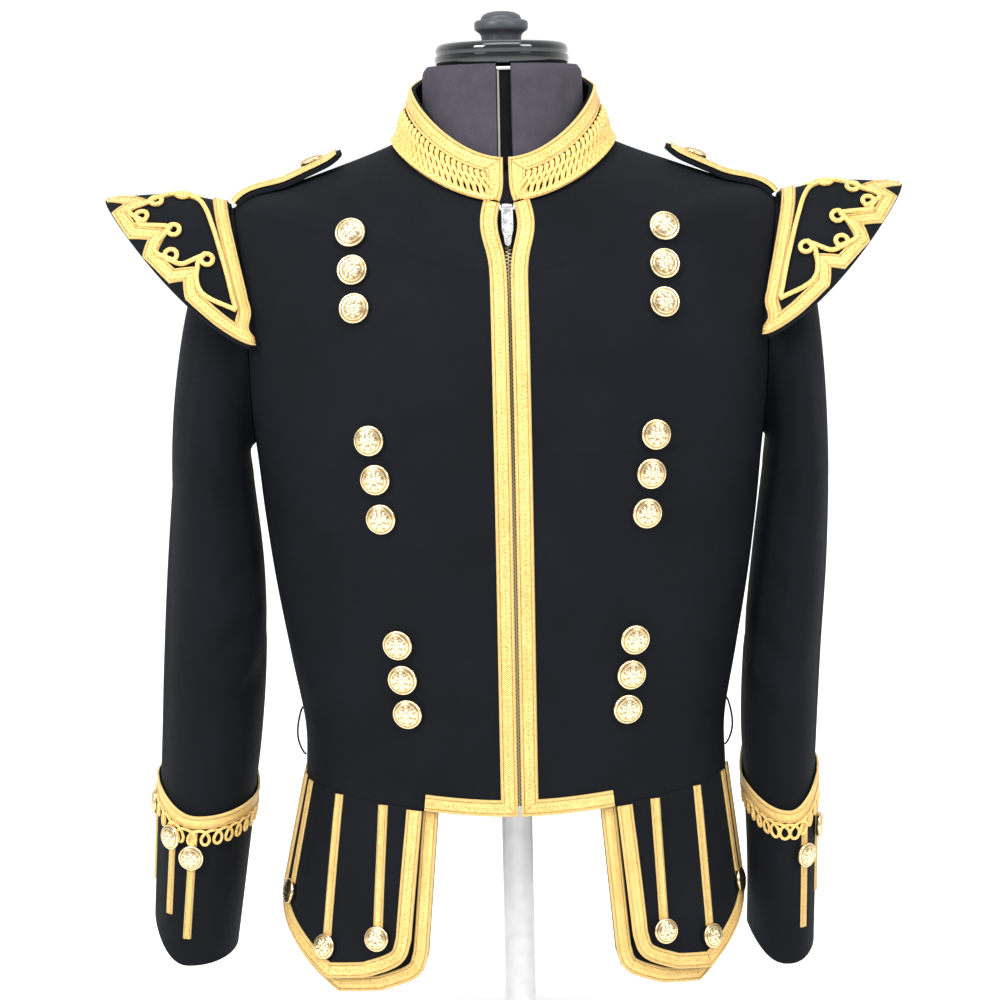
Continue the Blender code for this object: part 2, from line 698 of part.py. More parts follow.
def make_collar_fret():
    """The worked panel of interlaced cord on the collar, as one raised band."""
    start = (COLLAR_HALF_GAP + BRAID_WIDTH + 0.0012) / 0.068
    angle = collar_angles()
    angle = np.concatenate([[start], angle[2:-2], [2 * math.pi - start]])
    rows = np.array([FRET_LOW, 1.0, FRET_HIGH])[:, None]
    wall("collar_fret", COLLAR, angle, rows, FRET_THICK, "gold_braid",
         lift=ROUND_LIFT + FRET_THICK)


def front_line(reach, rows):
    """Points of the front at a distance from the middle at each row, as angle and row."""
    rows = np.asarray(rows, float)
    return angle_at_reach(np.broadcast_to(reach, rows.shape), rows), rows


def make_front_braids():
    """Braid down each front edge and along the hem to the first skirt."""
    rows = np.concatenate([[10.93, 10.75, 10.5, 10.3], body_rows()[::-1][1:-1]])
    z_edge = body_shape(np.full_like(rows, 0.03), rows)[:, 2]
    angle, _ = front_line(front_gap(z_edge), rows)
    hem = np.array([ZIP_HALF_GAP, 0.0365, HEM_BRAID_REACH])
    hem_angle, hem_rows = front_line(hem, np.zeros(len(hem)))
    for side in (-1, 1):
        path = list(zip(side * angle, rows)) + list(zip(side * hem_angle, hem_rows))
        left, right = (BRAID_WIDTH, 0.0) if side > 0 else (0.0, BRAID_WIDTH)
        band(f"front_braid_{side_name(side)}", BODY, path, left, right, BRAID_THICK,
             longest=0.05)


def make_breast_buttons():
    mesh = turned_mesh("breast_button", button_profile(BIG_BUTTON_RADIUS), BUTTON_SIDES)
    rows = body_rows()
    angles = front_angles(rows, armhole_cut(rows) + SEAM_ANGLE)
    mirror = np.array([-1, 1, 1])
    for k, (reach, height) in enumerate(BREAST_BUTTONS):
        angle, row = front_point(reach, height)
        point, out = flat_under(angles, rows, angle[0], row[0])
        point = point + out * BUTTON_LIFT
        for side in (-1, 1):
            name = f"button_{side_name(side)}_{k // 3 + 1}{'abc'[k % 3]}"
            button = new_object(name, mesh, "gilt")
            way = np.where(side < 0, mirror, 1)
            stand(button, point * way, out * way)


def make_sleeves():
    around = np.arange(SLEEVE_SIDES) * 2 * math.pi / SLEEVE_SIDES
    cap = [0.008, 0.10, 0.25, 0.42, 0.60, 0.80, 1.0]
    arm = [1.2, 1.4, 1.6, 1.8, 1.9965]
    rows = np.array(cap + arm)[:, None]
    for side in (-1, 1):
        wall(f"sleeve_{side_name(side)}", SLEEVES[side], around + 0 * rows,
             rows + 0 * around, CLOTH, "wool", lift=-SEAM_GAP, closed=True)


def make_cuffs():
    around = np.arange(SLEEVE_SIDES) * 2 * math.pi / SLEEVE_SIDES
    rows = np.linspace(2.0, 3.0, 4)[:, None]
    for side in (-1, 1):
        wall(f"cuff_{side_name(side)}", SLEEVES[side], around + 0 * rows, rows + 0 * around,
             CLOTH, "wool", lift=CUFF_PROUD, closed=True)


def drop_to_cuff_row(side, around, drop):
    """Row of the sleeve surface that lies this far below the cuff seam."""
    seam = ring_heights(CUFF_SEAM[side], around)
    edge = ring_heights(CUFF_EDGE[side], around)
    return 2 + drop / (seam - edge)


def make_cuff_trims():
    """Looped braid round the top of each cuff, with three buttoned stripes below it."""
    mesh = turned_mesh("cuff_button", button_profile(SMALL_BUTTON_RADIUS), BUTTON_SIDES)
    lift = CUFF_PROUD + CURVED_LIFT
    for side in (-1, 1):
        surface = SLEEVES[side]
        count = 2 * CUFF_LOOPS
        around = np.arange(count) * 2 * math.pi / count
        path = [(a, 2.0) for a in around]
        down = CUFF_BAND / 2 + np.where(np.arange(count) % 2, 0.0, CUFF_LOOP_DEPTH)
        up = CUFF_BAND / 2
        name = f"cuff_trim_{side_name(side)}"
        trim = band(name, surface, path, down, up, BRAID_THICK, lift=lift,
                    longest=1.0, closed=True)
        added = []
        for k, (angle, drop, end) in enumerate(CUFF_BUTTONS[side]):
            turn = math.radians(angle)
            top = drop_to_cuff_row(side, turn, 0.0)
            low = drop_to_cuff_row(side, turn, end)
            half = NARROW_BRAID / 2
            added.append(band(f"{name}_stripe_{k}", surface, [(turn, top), (turn, low)],
                              half, half, NARROW_THICK, lift=lift + 0.0001,
                              longest=0.018, helper=True))
            button = new_object(f"{name}_button_{k}", mesh, "gilt", helper=True)
            place_on(button, surface, turn, drop_to_cuff_row(side, turn, drop),
                     lift + 0.0008)
            added.append(button)
        join(trim, added)


def make_wings():
    around = np.radians(np.linspace(WING_START, 180 - WING_START, 23))
    share = np.linspace(0, 1, 6)[:, None]
    for side in (-1, 1):
        wall(f"wing_{side_name(side)}", WINGS[side], around + 0 * share, share + 0 * around,
             WING_CLOTH, "wool")


def make_wing_braids():
    """A braid along each wing's inner edge that turns at the points into the zigzag."""
    seam, zigzag = (
        list(line) + [(180 - a, t) for a, t in reversed(line[:-1])]
        for line in (WING_SEAM_LINE, WING_ZIGZAG)
    )
    path = [(math.radians(a), t) for a, t in seam + zigzag[::-1]]
    for side in (-1, 1):
        band(f"wing_braid_{side_name(side)}", WINGS[side], path, WING_BRAID / 2,
             WING_BRAID / 2, BRAID_THICK, lift=CURVED_LIFT, longest=0.016, closed=True)


def strap_grid(share_across, rows, half):
    """Angles on the body at which a strap of this half width lies, from back to front."""
    back_depth = smooth_rows(BODY_ROWS, rows)[..., 5]
    front_depth = smooth_rows(BODY_ROWS, rows)[..., 4]
    width = smooth_rows(BODY_ROWS, rows)[..., 3]
    y = share_across * half
    depth = np.where(y < 0, front_depth, back_depth)
    n = smooth_rows(BODY_ROWS, rows)[..., 6]
    x = width * (1 - np.minimum(np.abs(y) / depth, 0.98) ** n) ** (1 / n)
    return np.arctan2(x, -y)


def strap_lift(rows):
    """How far a strap stands off the shoulder: it rises towards the neck, over its button."""
    share = np.clip((rows - STRAP_ROWS[0]) / (STRAP_ROWS[1] - STRAP_ROWS[0]), 0, 1)
    return STRAP_LIFT + (STRAP_END_LIFT - STRAP_LIFT) * share**1.6


def strap_half_width(rows):
    """Half width of a strap: even, then rounded off at the neck end."""
    share = np.clip((rows - STRAP_ROWS[0]) / (STRAP_ROWS[1] - STRAP_ROWS[0]), 0, 1)
    taper = 1 - 0.18 * share
    end = np.sqrt(np.maximum(1 - np.clip((share - 0.80) / 0.215, 0, 1) ** 2, 0))
    return STRAP_WIDTH / 2 * taper * end


def make_straps():
    rows = STRAP_ROWS[0] + (STRAP_ROWS[1] - STRAP_ROWS[0]) * np.array(
        [0, 0.2, 0.4, 0.6, 0.78, 0.88, 0.95, 1.0])
    across = np.linspace(-1, 1, 7)[None, :]
    rows = rows[:, None] + 0 * across
    for side in (-1, 1):
        angle = strap_grid(across, rows, strap_half_width(rows))
        wall(f"strap_{side_name(side)}", BODY, side * angle, rows, STRAP_CLOTH, "wool",
             lift=STRAP_CLOTH + strap_lift(rows))


def make_strap_trims():
    """Braid round each strap's edge, with its button."""
    mesh = turned_mesh("strap_button", button_profile(SMALL_BUTTON_RADIUS), BUTTON_SIDES)
    shares = [0.0, 0.2, 0.4, 0.6, 0.78, 0.88, 0.94]
    for side in (-1, 1):
        rows = np.array([STRAP_ROWS[0] + (STRAP_ROWS[1] - STRAP_ROWS[0]) * s
                         for s in shares + [0.955] + shares[::-1]])
        sign = np.array([-1.0] * len(shares) + [0.0] + [1.0] * len(shares))
        top = STRAP_CLOTH + strap_lift(rows) + TRIM_LIFT + BRAID_THICK
        outer = strap_half_width(rows) * 0.97
        inner = np.maximum(outer - 0.0095, 0.003)
        inner_rows = np.minimum(rows, STRAP_ROWS[0] + 0.80 * (STRAP_ROWS[1] - STRAP_ROWS[0]))
        p = np.stack([strap_grid(sign, rows, outer), strap_grid(sign, inner_rows, inner)])
        q = np.stack([rows, inner_rows])
        trim = wall(f"strap_trim_{side_name(side)}", BODY, side * p, q, BRAID_THICK,
                    "gold_braid", lift=np.stack([top, top]))
        row = STRAP_ROWS[0] + 0.74 * (STRAP_ROWS[1] - STRAP_ROWS[0])
        button = new_object(f"strap_button_{side_name(side)}", mesh, "gilt", helper=True)
        place_on(button, BODY, side * math.pi / 2, row,
                 STRAP_CLOTH + float(strap_lift(np.array(row))) + 0.0012)
        join(trim, [button])


def skirt_bottom(angle):
    """Drop of a skirt's lower edge at an angle, in degrees."""
    outline = np.array(SKIRT_OUTLINE[1:-1])
    return np.interp(angle, outline[:, 0], outline[:, 1])


def make_skirt(name, surface, shift, extra, lift):
    """A skirt as a wall whose lower edge follows the outline."""
    columns = np.array(SKIRT_COLUMNS)
    span = columns[-1] - columns[0]
    angles = columns - shift * (columns[-1] - columns) / span
    low = skirt_bottom(columns) + extra
    share = np.array([0, 0.5, 1])[:, None]
    wall(name, surface, np.radians(angles), low * share, CLOTH, "wool", lift=lift)
    return angles, low


def skirt_edge(angles, low):
    """Path along a skirt's edge from the waist seam at its inner side to the outer side."""
    path = [(math.radians(angles[0]), 0.0015)]
    path += [(math.radians(a), d) for a, d in zip(angles, low)]
    return path + [(math.radians(angles[-1]), 0.0015)]


def make_skirts():
    """Front skirts in two layers and back skirts in one, each edged with braid."""
    mesh = turned_mesh("skirt_button", button_profile(SMALL_BUTTON_RADIUS), BUTTON_SIDES)
    for (side, behind), surface in SKIRTS.items():
        where = f"{'back' if behind else 'front'}_{side_name(side)}"
        if not behind:
            angles, low = make_skirt(f"under_skirt_{side_name(side)}", surface,
                                     UNDER_SKIRT_SHIFT, UNDER_SKIRT_DROP, UNDER_SKIRT_LIFT)
            band(f"under_skirt_braid_{side_name(side)}", surface, skirt_edge(angles, low),
                 0.0, SKIRT_BRAID, BRAID_THICK, lift=UNDER_SKIRT_LIFT + ROUND_LIFT,
                 longest=0.06)
        angles, low = make_skirt(f"skirt_{where}", surface, 0.0, 0.0, 0.0)
        name = f"skirt_trim_{where}"
        trim = band(name, surface, skirt_edge(angles, low), 0.0, SKIRT_BRAID, BRAID_THICK,
                    lift=ROUND_LIFT, longest=0.06)
        added = []
        for k, (top, end, drop) in enumerate(SKIRT_STRIPES):
            half = NARROW_BRAID / 2
            foot = skirt_bottom(end) - SKIRT_BRAID * 0.7
            path = [(math.radians(top), 0.0015), (math.radians(end), foot)]
            added.append(band(f"{name}_stripe_{k}", surface, path, half, half, NARROW_THICK,
                              lift=ROUND_LIFT + 0.0001, longest=0.06, helper=True))
            button = new_object(f"{name}_button_{k}", mesh, "gilt", helper=True)
            place_on(button, surface, math.radians(end), drop, ROUND_LIFT + 0.0007)
            added.append(button)
        join(trim, added)


def make_zip():
    """Tape behind the front edges, with the chain of teeth as a ridge between them."""
    rows = np.append(np.insert(body_rows()[1:-1], 0, ZIP_FOOT_ROW), ZIP_TOP_ROW)
    back = -CLOTH - TRIM_LIFT
    reach = np.array([-1.0, 0.0, 1.0])
    angle, _ = front_line(ZIP_TAPE_HALF, rows)
    tape = wall("zip", BODY, angle[:, None] * reach, rows[:, None], ZIP_TAPE_THICK, "wool",
                lift=back)
    angle, _ = front_line(ZIP_CHAIN_HALF, rows[:-1])
    chain = wall("zip_chain", BODY, angle[:, None] * reach[::2], rows[:-1, None],
                 ZIP_CHAIN_THICK, "zip_metal", lift=back + ZIP_CHAIN_RISE, helper=True)
    join(tape, [chain])


def box(name, size, centre, slope, helper):
    """A block with its sides along the zip's own directions: across, up and outwards."""
    bpy.ops.mesh.primitive_cube_add(size=1)
    made = bpy.context.object
    mesh = made.data.copy()
    bpy.data.objects.remove(made)
    mesh.name = name
    mesh.transform(slope @ Matrix.Diagonal((*size, 1)))
    obj = new_object(name, mesh, "zip_metal", helper)
    obj.location = centre
    return obj


def rod(name, radius, length, centre):
    """A round bar across the zip."""
    bpy.ops.mesh.primitive_cylinder_add(vertices=12, radius=radius, depth=length)
    made = bpy.context.object
    mesh = made.data.copy()
    bpy.data.objects.remove(made)
    mesh.name = name
    mesh.transform(Matrix.Rotation(math.pi / 2, 4, "Y"))
    obj = new_object(name, mesh, "zip_metal", helper=True)
    obj.location = centre
    return obj


def zip_frame():
    """The zip's directions at the slider, and the points of its chain and of the hinge."""
    angle, row = front_point(1e-5, PULL_HINGE_HEIGHT)
    low_angle, low_row = front_point(1e-5, PULL_HINGE_HEIGHT - PULL_LENGTH)
    top = Vector(BODY.at(angle[0], row[0]))
    low = Vector(BODY.at(low_angle[0], low_row[0]))
    up = (top - low)
    up.x = 0.0
    up.normalize()
    out = Vector((1, 0, 0)).cross(up)
    slope = Matrix(((1, 0, 0), up, out)).transposed().to_4x4()
    top.x = 0.0
    return slope, up, out, top


def make_slider():
    """Zip slider: a small block on the chain, with two ears and the pin that they hold."""
    slope, up, out, top = zip_frame()
    hinge = top + out * PULL_HINGE_RISE
    body = box("zip_slider", SLIDER_SIZE, top - out * SLIDER_SIZE[2] * 0.3, slope, False)
    added = [rod("zip_slider_pin", PULL_PIN, 0.0112, hinge)]
    for end in (-1, 1):
        across = Vector((end * 0.0052, 0, 0))
        added.append(box(f"zip_slider_ear_{end}", (0.0011, 0.0036, 0.0062),
                         top + across + out * 0.0016, slope, True))
        added.append(box(f"zip_slider_lug_{end}", (0.0030, 0.0034, 0.0014),
                         top + across * 0.78 - out * 0.0007, slope, True))
    join(body, added)


def make_pull():
    """Zip pull: a tapered tab with an eye round the slider's pin, lying down the zip."""
    slope, up, out, top = zip_frame()
    hinge = top + out * PULL_HINGE_RISE
    half = PULL_WIDTH / 2
    outline = [(-half, 0.0), (-half, -0.55), (-half * 0.62, -0.97), (0.0, -1.0),
               (half * 0.62, -0.97), (half, -0.55), (half, 0.0)]
    points = [(x, y * PULL_LENGTH, z) for z in (-PULL_THICK / 2, PULL_THICK / 2)
              for x, y in outline]
    count = len(outline)
    faces = [tuple(range(count))[::-1], tuple(range(count, 2 * count))]
    faces += [(k, (k + 1) % count, (k + 1) % count + count, k + count) for k in range(count)]
    mesh = bpy.data.meshes.new("zip_pull")
    mesh.from_pydata(points, [], faces)
    mesh.transform(slope)
    pull = new_object("zip_pull", mesh, "zip_metal")
    pull.location = hinge
    join(pull, [rod("zip_pull_eye", PULL_EYE, PULL_WIDTH - 0.0002, hinge)])
    cut = pull.modifiers.new("bore", "BOOLEAN")
    cut.operation = "DIFFERENCE"
    cut.object = rod("zip_pull_bore", PULL_BORE, 0.03, hinge)


def form_ease(row):
    """Clearance between the form and the cloth: close on the shoulders, easy at the waist."""
    return np.interp(row, *zip(*FORM_EASE))


def make_form():
    """The dress form's torso and neck, one smooth closed body inside the doublet."""
    armhole = body_rows()[7:16]
    rows = np.concatenate([[1.0, 2.0, 3.0, 4.0], armhole[[0, 2]], armhole[4:],
                           [8.6, 9.3, 10.1, 11.0]])
    cut = np.maximum(armhole_cut(rows), math.radians(FORM_SIDE_CUT))
    front = front_angles(rows, cut)
    front[:, 0] = 0.0
    side = np.full((len(rows), 1), math.pi / 2)
    angle = np.concatenate([front, side, back_angles(rows, cut), -side, -front[:, :0:-1]],
                           axis=1)
    lowest = row_at_height(angle[0], FORM_BOTTOM)
    ease = form_ease(rows)[:, None] + 0 * angle
    ease[:, 0] += FORM_ZIP_EASE
    points = [BODY.at(angle[0], lowest, -(CLOTH + FORM_EASE[0][1]))]
    points[0][:, 2] = FORM_BOTTOM
    points += list(BODY.at(angle, rows[:, None], -(CLOTH + ease)))
    sides = angle.shape[1]
    for row in FORM_NECK_ROWS:
        points.append(oval_point(angle[-1], np.broadcast_to(np.array(row), (sides, 7))))
    points = np.array(points)
    faces = sheet_faces(len(points), sides, True)
    last = (len(points) - 1) * sides
    faces.append(tuple(range(sides))[::-1])
    faces.append(tuple(range(last, last + sides)))
    mesh = bpy.data.meshes.new("form_torso")
    mesh.from_pydata(points.reshape(-1, 3).tolist(), [], faces)
    mesh.shade_smooth()
    mesh.set_sharp_from_angle(angle=math.radians(40))
    new_object("form_torso", mesh, "form_cloth")
    new_object("form_cap", turned_mesh("form_cap", CAP_PROFILE, 20), "form_plastic")
    new_object("form_stand", turned_mesh("form_stand", STAND_PROFILE, 28), "stand_paint")


make_form()
make_fronts()
make_back()
make_collar()
make_collar_braid()
make_collar_fret()
make_front_braids()
make_breast_buttons()
make_sleeves()
make_cuffs()
make_cuff_trims()
make_wings()
make_wing_braids()
make_straps()
make_strap_trims()
make_skirts()
make_zip()
make_slider()
make_pull()
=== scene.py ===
"""The looks of a braided military doublet on a dress form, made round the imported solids.

Left and right are the wearer's: left is +X, the front faces -Y, +Z is up. Sizes are metres.
Every cloth piece, braid and cord lies on one of the few smooth surfaces that the solids are
made on, so their functions and driving sizes are repeated here. A grid of points on such a
surface is worked out as whole arrays and then becomes one mesh.
"""

import math

import bpy
import numpy as np
from mathutils import Matrix, Vector


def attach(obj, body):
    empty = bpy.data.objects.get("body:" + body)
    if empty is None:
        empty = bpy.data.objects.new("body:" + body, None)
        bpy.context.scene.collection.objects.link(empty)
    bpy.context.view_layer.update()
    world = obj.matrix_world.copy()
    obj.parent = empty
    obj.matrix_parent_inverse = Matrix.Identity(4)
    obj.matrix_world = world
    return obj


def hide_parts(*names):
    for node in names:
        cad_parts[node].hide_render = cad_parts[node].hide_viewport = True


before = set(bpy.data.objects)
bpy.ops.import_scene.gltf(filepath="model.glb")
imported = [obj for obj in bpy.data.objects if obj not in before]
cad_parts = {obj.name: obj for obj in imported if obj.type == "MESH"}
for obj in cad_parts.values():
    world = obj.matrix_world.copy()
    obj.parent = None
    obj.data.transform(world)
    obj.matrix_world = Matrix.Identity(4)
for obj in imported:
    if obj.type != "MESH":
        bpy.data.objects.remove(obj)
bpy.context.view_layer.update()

# Camera: the photo's place and angle. 0.8 mm to a pixel of the 1000 pixel frame at the doublet
CAMERA_PLACE = (-0.0400, -2.0, 0.7673)
CAMERA_PITCH = 7.07
CAMERA_ROLL = 1.2
CAMERA_TURN = 0.9
CAMERA_LENS = 90.69
SENSOR = 36.0

# Cloth, braid and clearances
CLOTH = 0.0022
COLLAR_CLOTH = 0.0030
WING_CLOTH = 0.0024
STRAP_CLOTH = 0.0045
SEAM_GAP = 0.0003
TRIM_LIFT = 0.0003
BRAID_THICK = 0.0018
BRAID_WIDTH = 0.0130
NARROW_BRAID = 0.0080
CUFF_STRIPE = 0.0060
BRAID_PROUD = 0.0012
CORD_RADIUS = 0.0019

# The body of the doublet, row by row from the waist seam to the neck. Each row has the height
# at the front, side and back, the half width, the depth of the front and back, and roundness
BODY_ROWS = (
    (0.2885, 0.3065, 0.3000, 0.1690, 0.1090, 0.0980, 2.30),  # waist seam
    (0.3420, 0.3450, 0.3430, 0.1690, 0.1085, 0.0965, 2.30),
    (0.4000, 0.4000, 0.4000, 0.1785, 0.1125, 0.1000, 2.32),
    (0.4600, 0.4600, 0.4600, 0.1885, 0.1185, 0.1060, 2.35),
    (0.5150, 0.5150, 0.5150, 0.1955, 0.1235, 0.1120, 2.40),
    (0.5650, 0.5700, 0.5700, 0.2010, 0.1245, 0.1165, 2.45),  # armhole bottom
    (0.6200, 0.6300, 0.6300, 0.2095, 0.1205, 0.1185, 2.50),
    (0.6680, 0.6900, 0.6900, 0.2145, 0.1110, 0.1140, 2.42),
    (0.7040, 0.7570, 0.7450, 0.2115, 0.0985, 0.1010, 2.20),  # shoulder point
    (0.7220, 0.7725, 0.7760, 0.1700, 0.0905, 0.0900, 2.12),
    (0.7390, 0.7875, 0.8030, 0.1270, 0.0830, 0.0795, 2.08),
    (0.7550, 0.8020, 0.8280, 0.0855, 0.0760, 0.0700, 2.05),  # neck seam
)
FRONT_RADIUS = 0.11
ARMPIT_ROW = 5.0
SHOULDER_ROW = 8.0
NECK_ROW = 11.0
SHOULDER_FALL = 1.4
ARMHOLE_CUT = 14.0
SEAM_ANGLE = 0.0010

# The front edges stand a zip's width apart, and open round the slider
ZIP_HALF_GAP = 0.0025
ZIP_OPENING = 0.0062
ZIP_OPENING_HEIGHT = 0.740
ZIP_OPENING_SPREAD = 0.020
HEM_BRAID_REACH = 0.0730

# Collar
COLLAR_ROWS = (
    (0.7561, 0.8031, 0.8291, 0.0855, 0.0760, 0.0700, 2.05),
    (0.7670, 0.8170, 0.8430, 0.0800, 0.0712, 0.0668, 2.05),
    (0.7785, 0.8315, 0.8575, 0.0750, 0.0668, 0.0640, 2.05),
    (0.7900, 0.8460, 0.8720, 0.0710, 0.0630, 0.0622, 2.05),
)
COLLAR_TOP_ROW = 3.0
COLLAR_HALF_GAP = 0.0022
COLLAR_PART = 0.040
COLLAR_RADIUS = 0.07

# The collar's cord: its loops, and the thin straight cord below them
FRET_START = 0.0032
FRET_RADIUS = 0.068
FRET_PITCH = 0.0054
FRET_LEAN = 0.0070
FRET_SWING = (0.62, 0.95)
FRET_LOW = 0.14
FRET_HIGH = 1.80
FRET_CORD = 0.00140
FRET_OVER = 0.0006
FRET_FOOT = 0.085
FRET_FOOT_CORD = 0.0009
FRET_FOOT_REACH = 0.010

# Sleeves below the armhole. Each row has the height, the distance of the inner and outer side
# from the middle of the body, and the front and back
SLEEVE_ROWS = {
    -1: (
        (0.145, 0.2330, 0.2960, -0.0590, 0.0400),
        (0.200, 0.2245, 0.2925, -0.0640, 0.0430),
        (0.260, 0.2155, 0.2885, -0.0680, 0.0480),
        (0.330, 0.2045, 0.2840, -0.0715, 0.0560),
        (0.400, 0.1985, 0.2800, -0.0740, 0.0650),
        (0.470, 0.1985, 0.2750, -0.0750, 0.0730),
        (0.540, 0.2050, 0.2685, -0.0735, 0.0770),
    ),
    1: (
        (0.135, 0.1860, 0.2370, -0.0590, 0.0420),
        (0.200, 0.1880, 0.2375, -0.0640, 0.0450),
        (0.260, 0.1870, 0.2385, -0.0680, 0.0500),
        (0.330, 0.1830, 0.2410, -0.0710, 0.0580),
        (0.400, 0.1865, 0.2445, -0.0735, 0.0670),
        (0.470, 0.1945, 0.2495, -0.0745, 0.0750),
        (0.540, 0.2040, 0.2525, -0.0735, 0.0790),
    ),
}
SLEEVE_ROUNDNESS = 2.25
SLEEVE_TOP = 0.540
# The cap's curve leaves the armhole outwards, round and down, and arrives at the arm going
# down. Of two numbers, the second is added from the armpit to the shoulder
CAP_OUT = (0.030, 0.070)
CAP_ROUND = 0.030
CAP_DOWN = (0.020, 0.010)
CAP_ARRIVE = (0.035, 0.230)
CUFF_SEAM = {-1: (0.284, 0.277, 0.303, 0.318), 1: (0.284, 0.270, 0.302, 0.318)}
CUFF_EDGE = {-1: (0.164, 0.161, 0.196, 0.190), 1: (0.168, 0.150, 0.162, 0.182)}
CUFF_PROUD = 0.0012
CUFF_LOOPS = 28
CUFF_LOOP_DROP = 0.0102
CUFF_LOOP_RISE = 0.0058
CUFF_LOOP_SWING = 0.42
CUFF_LOOP_CORD = 0.00125
CUFF_STRIPE_TOP = 0.004
CUFF_BAND = 0.0102
# Cuff buttons by side: angle round the sleeve, drop below the cuff seam, drop of the braid
CUFF_BUTTONS = {
    -1: ((95.0, 0.026, 0.093), (120.0, 0.017, 0.080), (163.0, 0.014, 0.076)),
    1: ((113.0, 0.035, 0.095), (150.0, 0.036, 0.090), (184.0, 0.031, 0.085)),
}

# Shoulder wings
WING_LOW_ROW = 6.55
WING_INNER_ANGLE = 18.0
WING_START = 3.0
WING_TIP = (0.3135, 0.0, 0.7635)
WING_LOW = (0.1920, 0.0760, 0.6490)
WING_DOME = 0.006
WING_INNER_RISE = 1.9
WING_OUTER_RISE = 1.5
WING_LIFT = 0.0046
WING_BRAID = 0.0112
# Lines on half a wing, as the angle round it and the share of its width
WING_SEAM_LINE = (
    (6.4, 0.50), (21.0, 0.12), (32.0, 0.072), (45.0, 0.062), (60.0, 0.060), (75.0, 0.068),
    (90.0, 0.085),
)
WING_ZIGZAG = (
    (18.8, 0.68), (30.3, 0.78), (40.0, 0.58), (38.5, 0.84), (47.5, 0.90), (56.0, 0.70),
    (57.5, 0.92), (69.0, 0.93), (75.5, 0.75), (84.0, 0.93), (90.0, 0.93),
)
# The thin cord on half a wing. A curl has the way that it starts in and how far it turns
WING_CORD = (
    ((24.5, 0.22), None), ((31.2, 0.60), None), ((43.0, 0.47), None),
    ((46.5, 0.33), (200, -350)), ((43.5, 0.62), None), ((47.0, 0.69), (320, -330)),
    ((48.5, 0.83), None), ((56.5, 0.63), None), ((58.0, 0.54), (200, -350)),
    ((60.5, 0.82), None), ((65.0, 0.77), (320, -330)), ((68.5, 0.85), None),
    ((73.0, 0.68), None), ((74.5, 0.60), (240, -340)), ((80.0, 0.50), None),
    ((81.5, 0.38), (230, -340)), ((79.5, 0.27), None), ((72.0, 0.20), None),
    ((62.0, 0.170), None), ((54.0, 0.160), None), ((40.5, 0.165), None),
    ((25.5, 0.215), None),
)
CURL_RADIUS = 0.0045

# Shoulder straps
STRAP_WIDTH = 0.046
STRAP_LIFT = 0.0004
STRAP_END_LIFT = 0.0075
STRAP_LIFT_POWER = 1.6
STRAP_ROWS = (8.05, 10.05)
# Shares of a strap's length: where its ends' finer rows start, where it starts to round off
# and how long that takes, how much it tapers, and where its button sits
STRAP_FINE = 0.78
STRAP_ROUND = 0.80
STRAP_ROUNDING = 0.215
STRAP_TAPER = 0.18
STRAP_BUTTON = 0.74
STRAP_BRAID = 0.0095

# Skirts: angle about the body's axis and drop below the waist seam
SKIRT_OUTLINE = (
    (36.5, 0.100), (37.6, 0.113), (40.6, 0.122), (48.0, 0.133), (58.5, 0.1405),
    (67.0, 0.128), (76.5, 0.113), (86.0, 0.0950),
)
SKIRT_BRAID = 0.0121
SKIRT_TOP = 0.0015
UNDER_SKIRT_SHIFT = 5.0
UNDER_SKIRT_DROP = 0.0085
UNDER_SKIRT_LIFT = -0.0056
SKIRT_FLARE = {-1: 0.215, 1: 0.125}
SKIRT_FRONT_FLARE = 0.16
SKIRT_STRIPES = ((49.0, 46.0, 0.1020), (63.5, 60.0, 0.1170), (77.5, 77.0, 0.0900))

# Buttons: big ones on the breast, small ones elsewhere
BIG_BUTTON_RADIUS = 0.0118
SMALL_BUTTON_RADIUS = 0.0100
BUTTON_HEIGHT_SHARE = 0.52
BUTTON_PETALS = 8
BUTTON_BEADS = 24
BUTTON_LIFT = 0.0002
TRIM_BUTTON_LIFT = 0.0010
STRAP_BUTTON_LIFT = 0.0004
BREAST_BUTTONS = (
    (0.1185, 0.7350), (0.1175, 0.7075), (0.1165, 0.6790),
    (0.1075, 0.5805), (0.1035, 0.5510), (0.1000, 0.5210),
    (0.0900, 0.4230), (0.0870, 0.3955), (0.0842, 0.3680),
)

# Zip
ZIP_TAPE_HALF = 0.0120
ZIP_TAPE_THICK = 0.0010
ZIP_FOOT_ROW = 0.12
ZIP_TOP_ROW = 10.55
TOOTH_PITCH = 0.0030
TOOTH_SIZE = (0.0026, 0.0013, 0.0018)
TOOTH_ROWS = (0.16, 10.4)
TOOTH_REACH = 0.0008
TOOTH_PART = 0.0019
TOOTH_RISE = 0.0006
PULL_HINGE_HEIGHT = 0.7505
PULL_HINGE_RISE = 0.0034
PULL_LENGTH = 0.0310
PULL_WIDTH = 0.0088
PULL_THICK = 0.0017

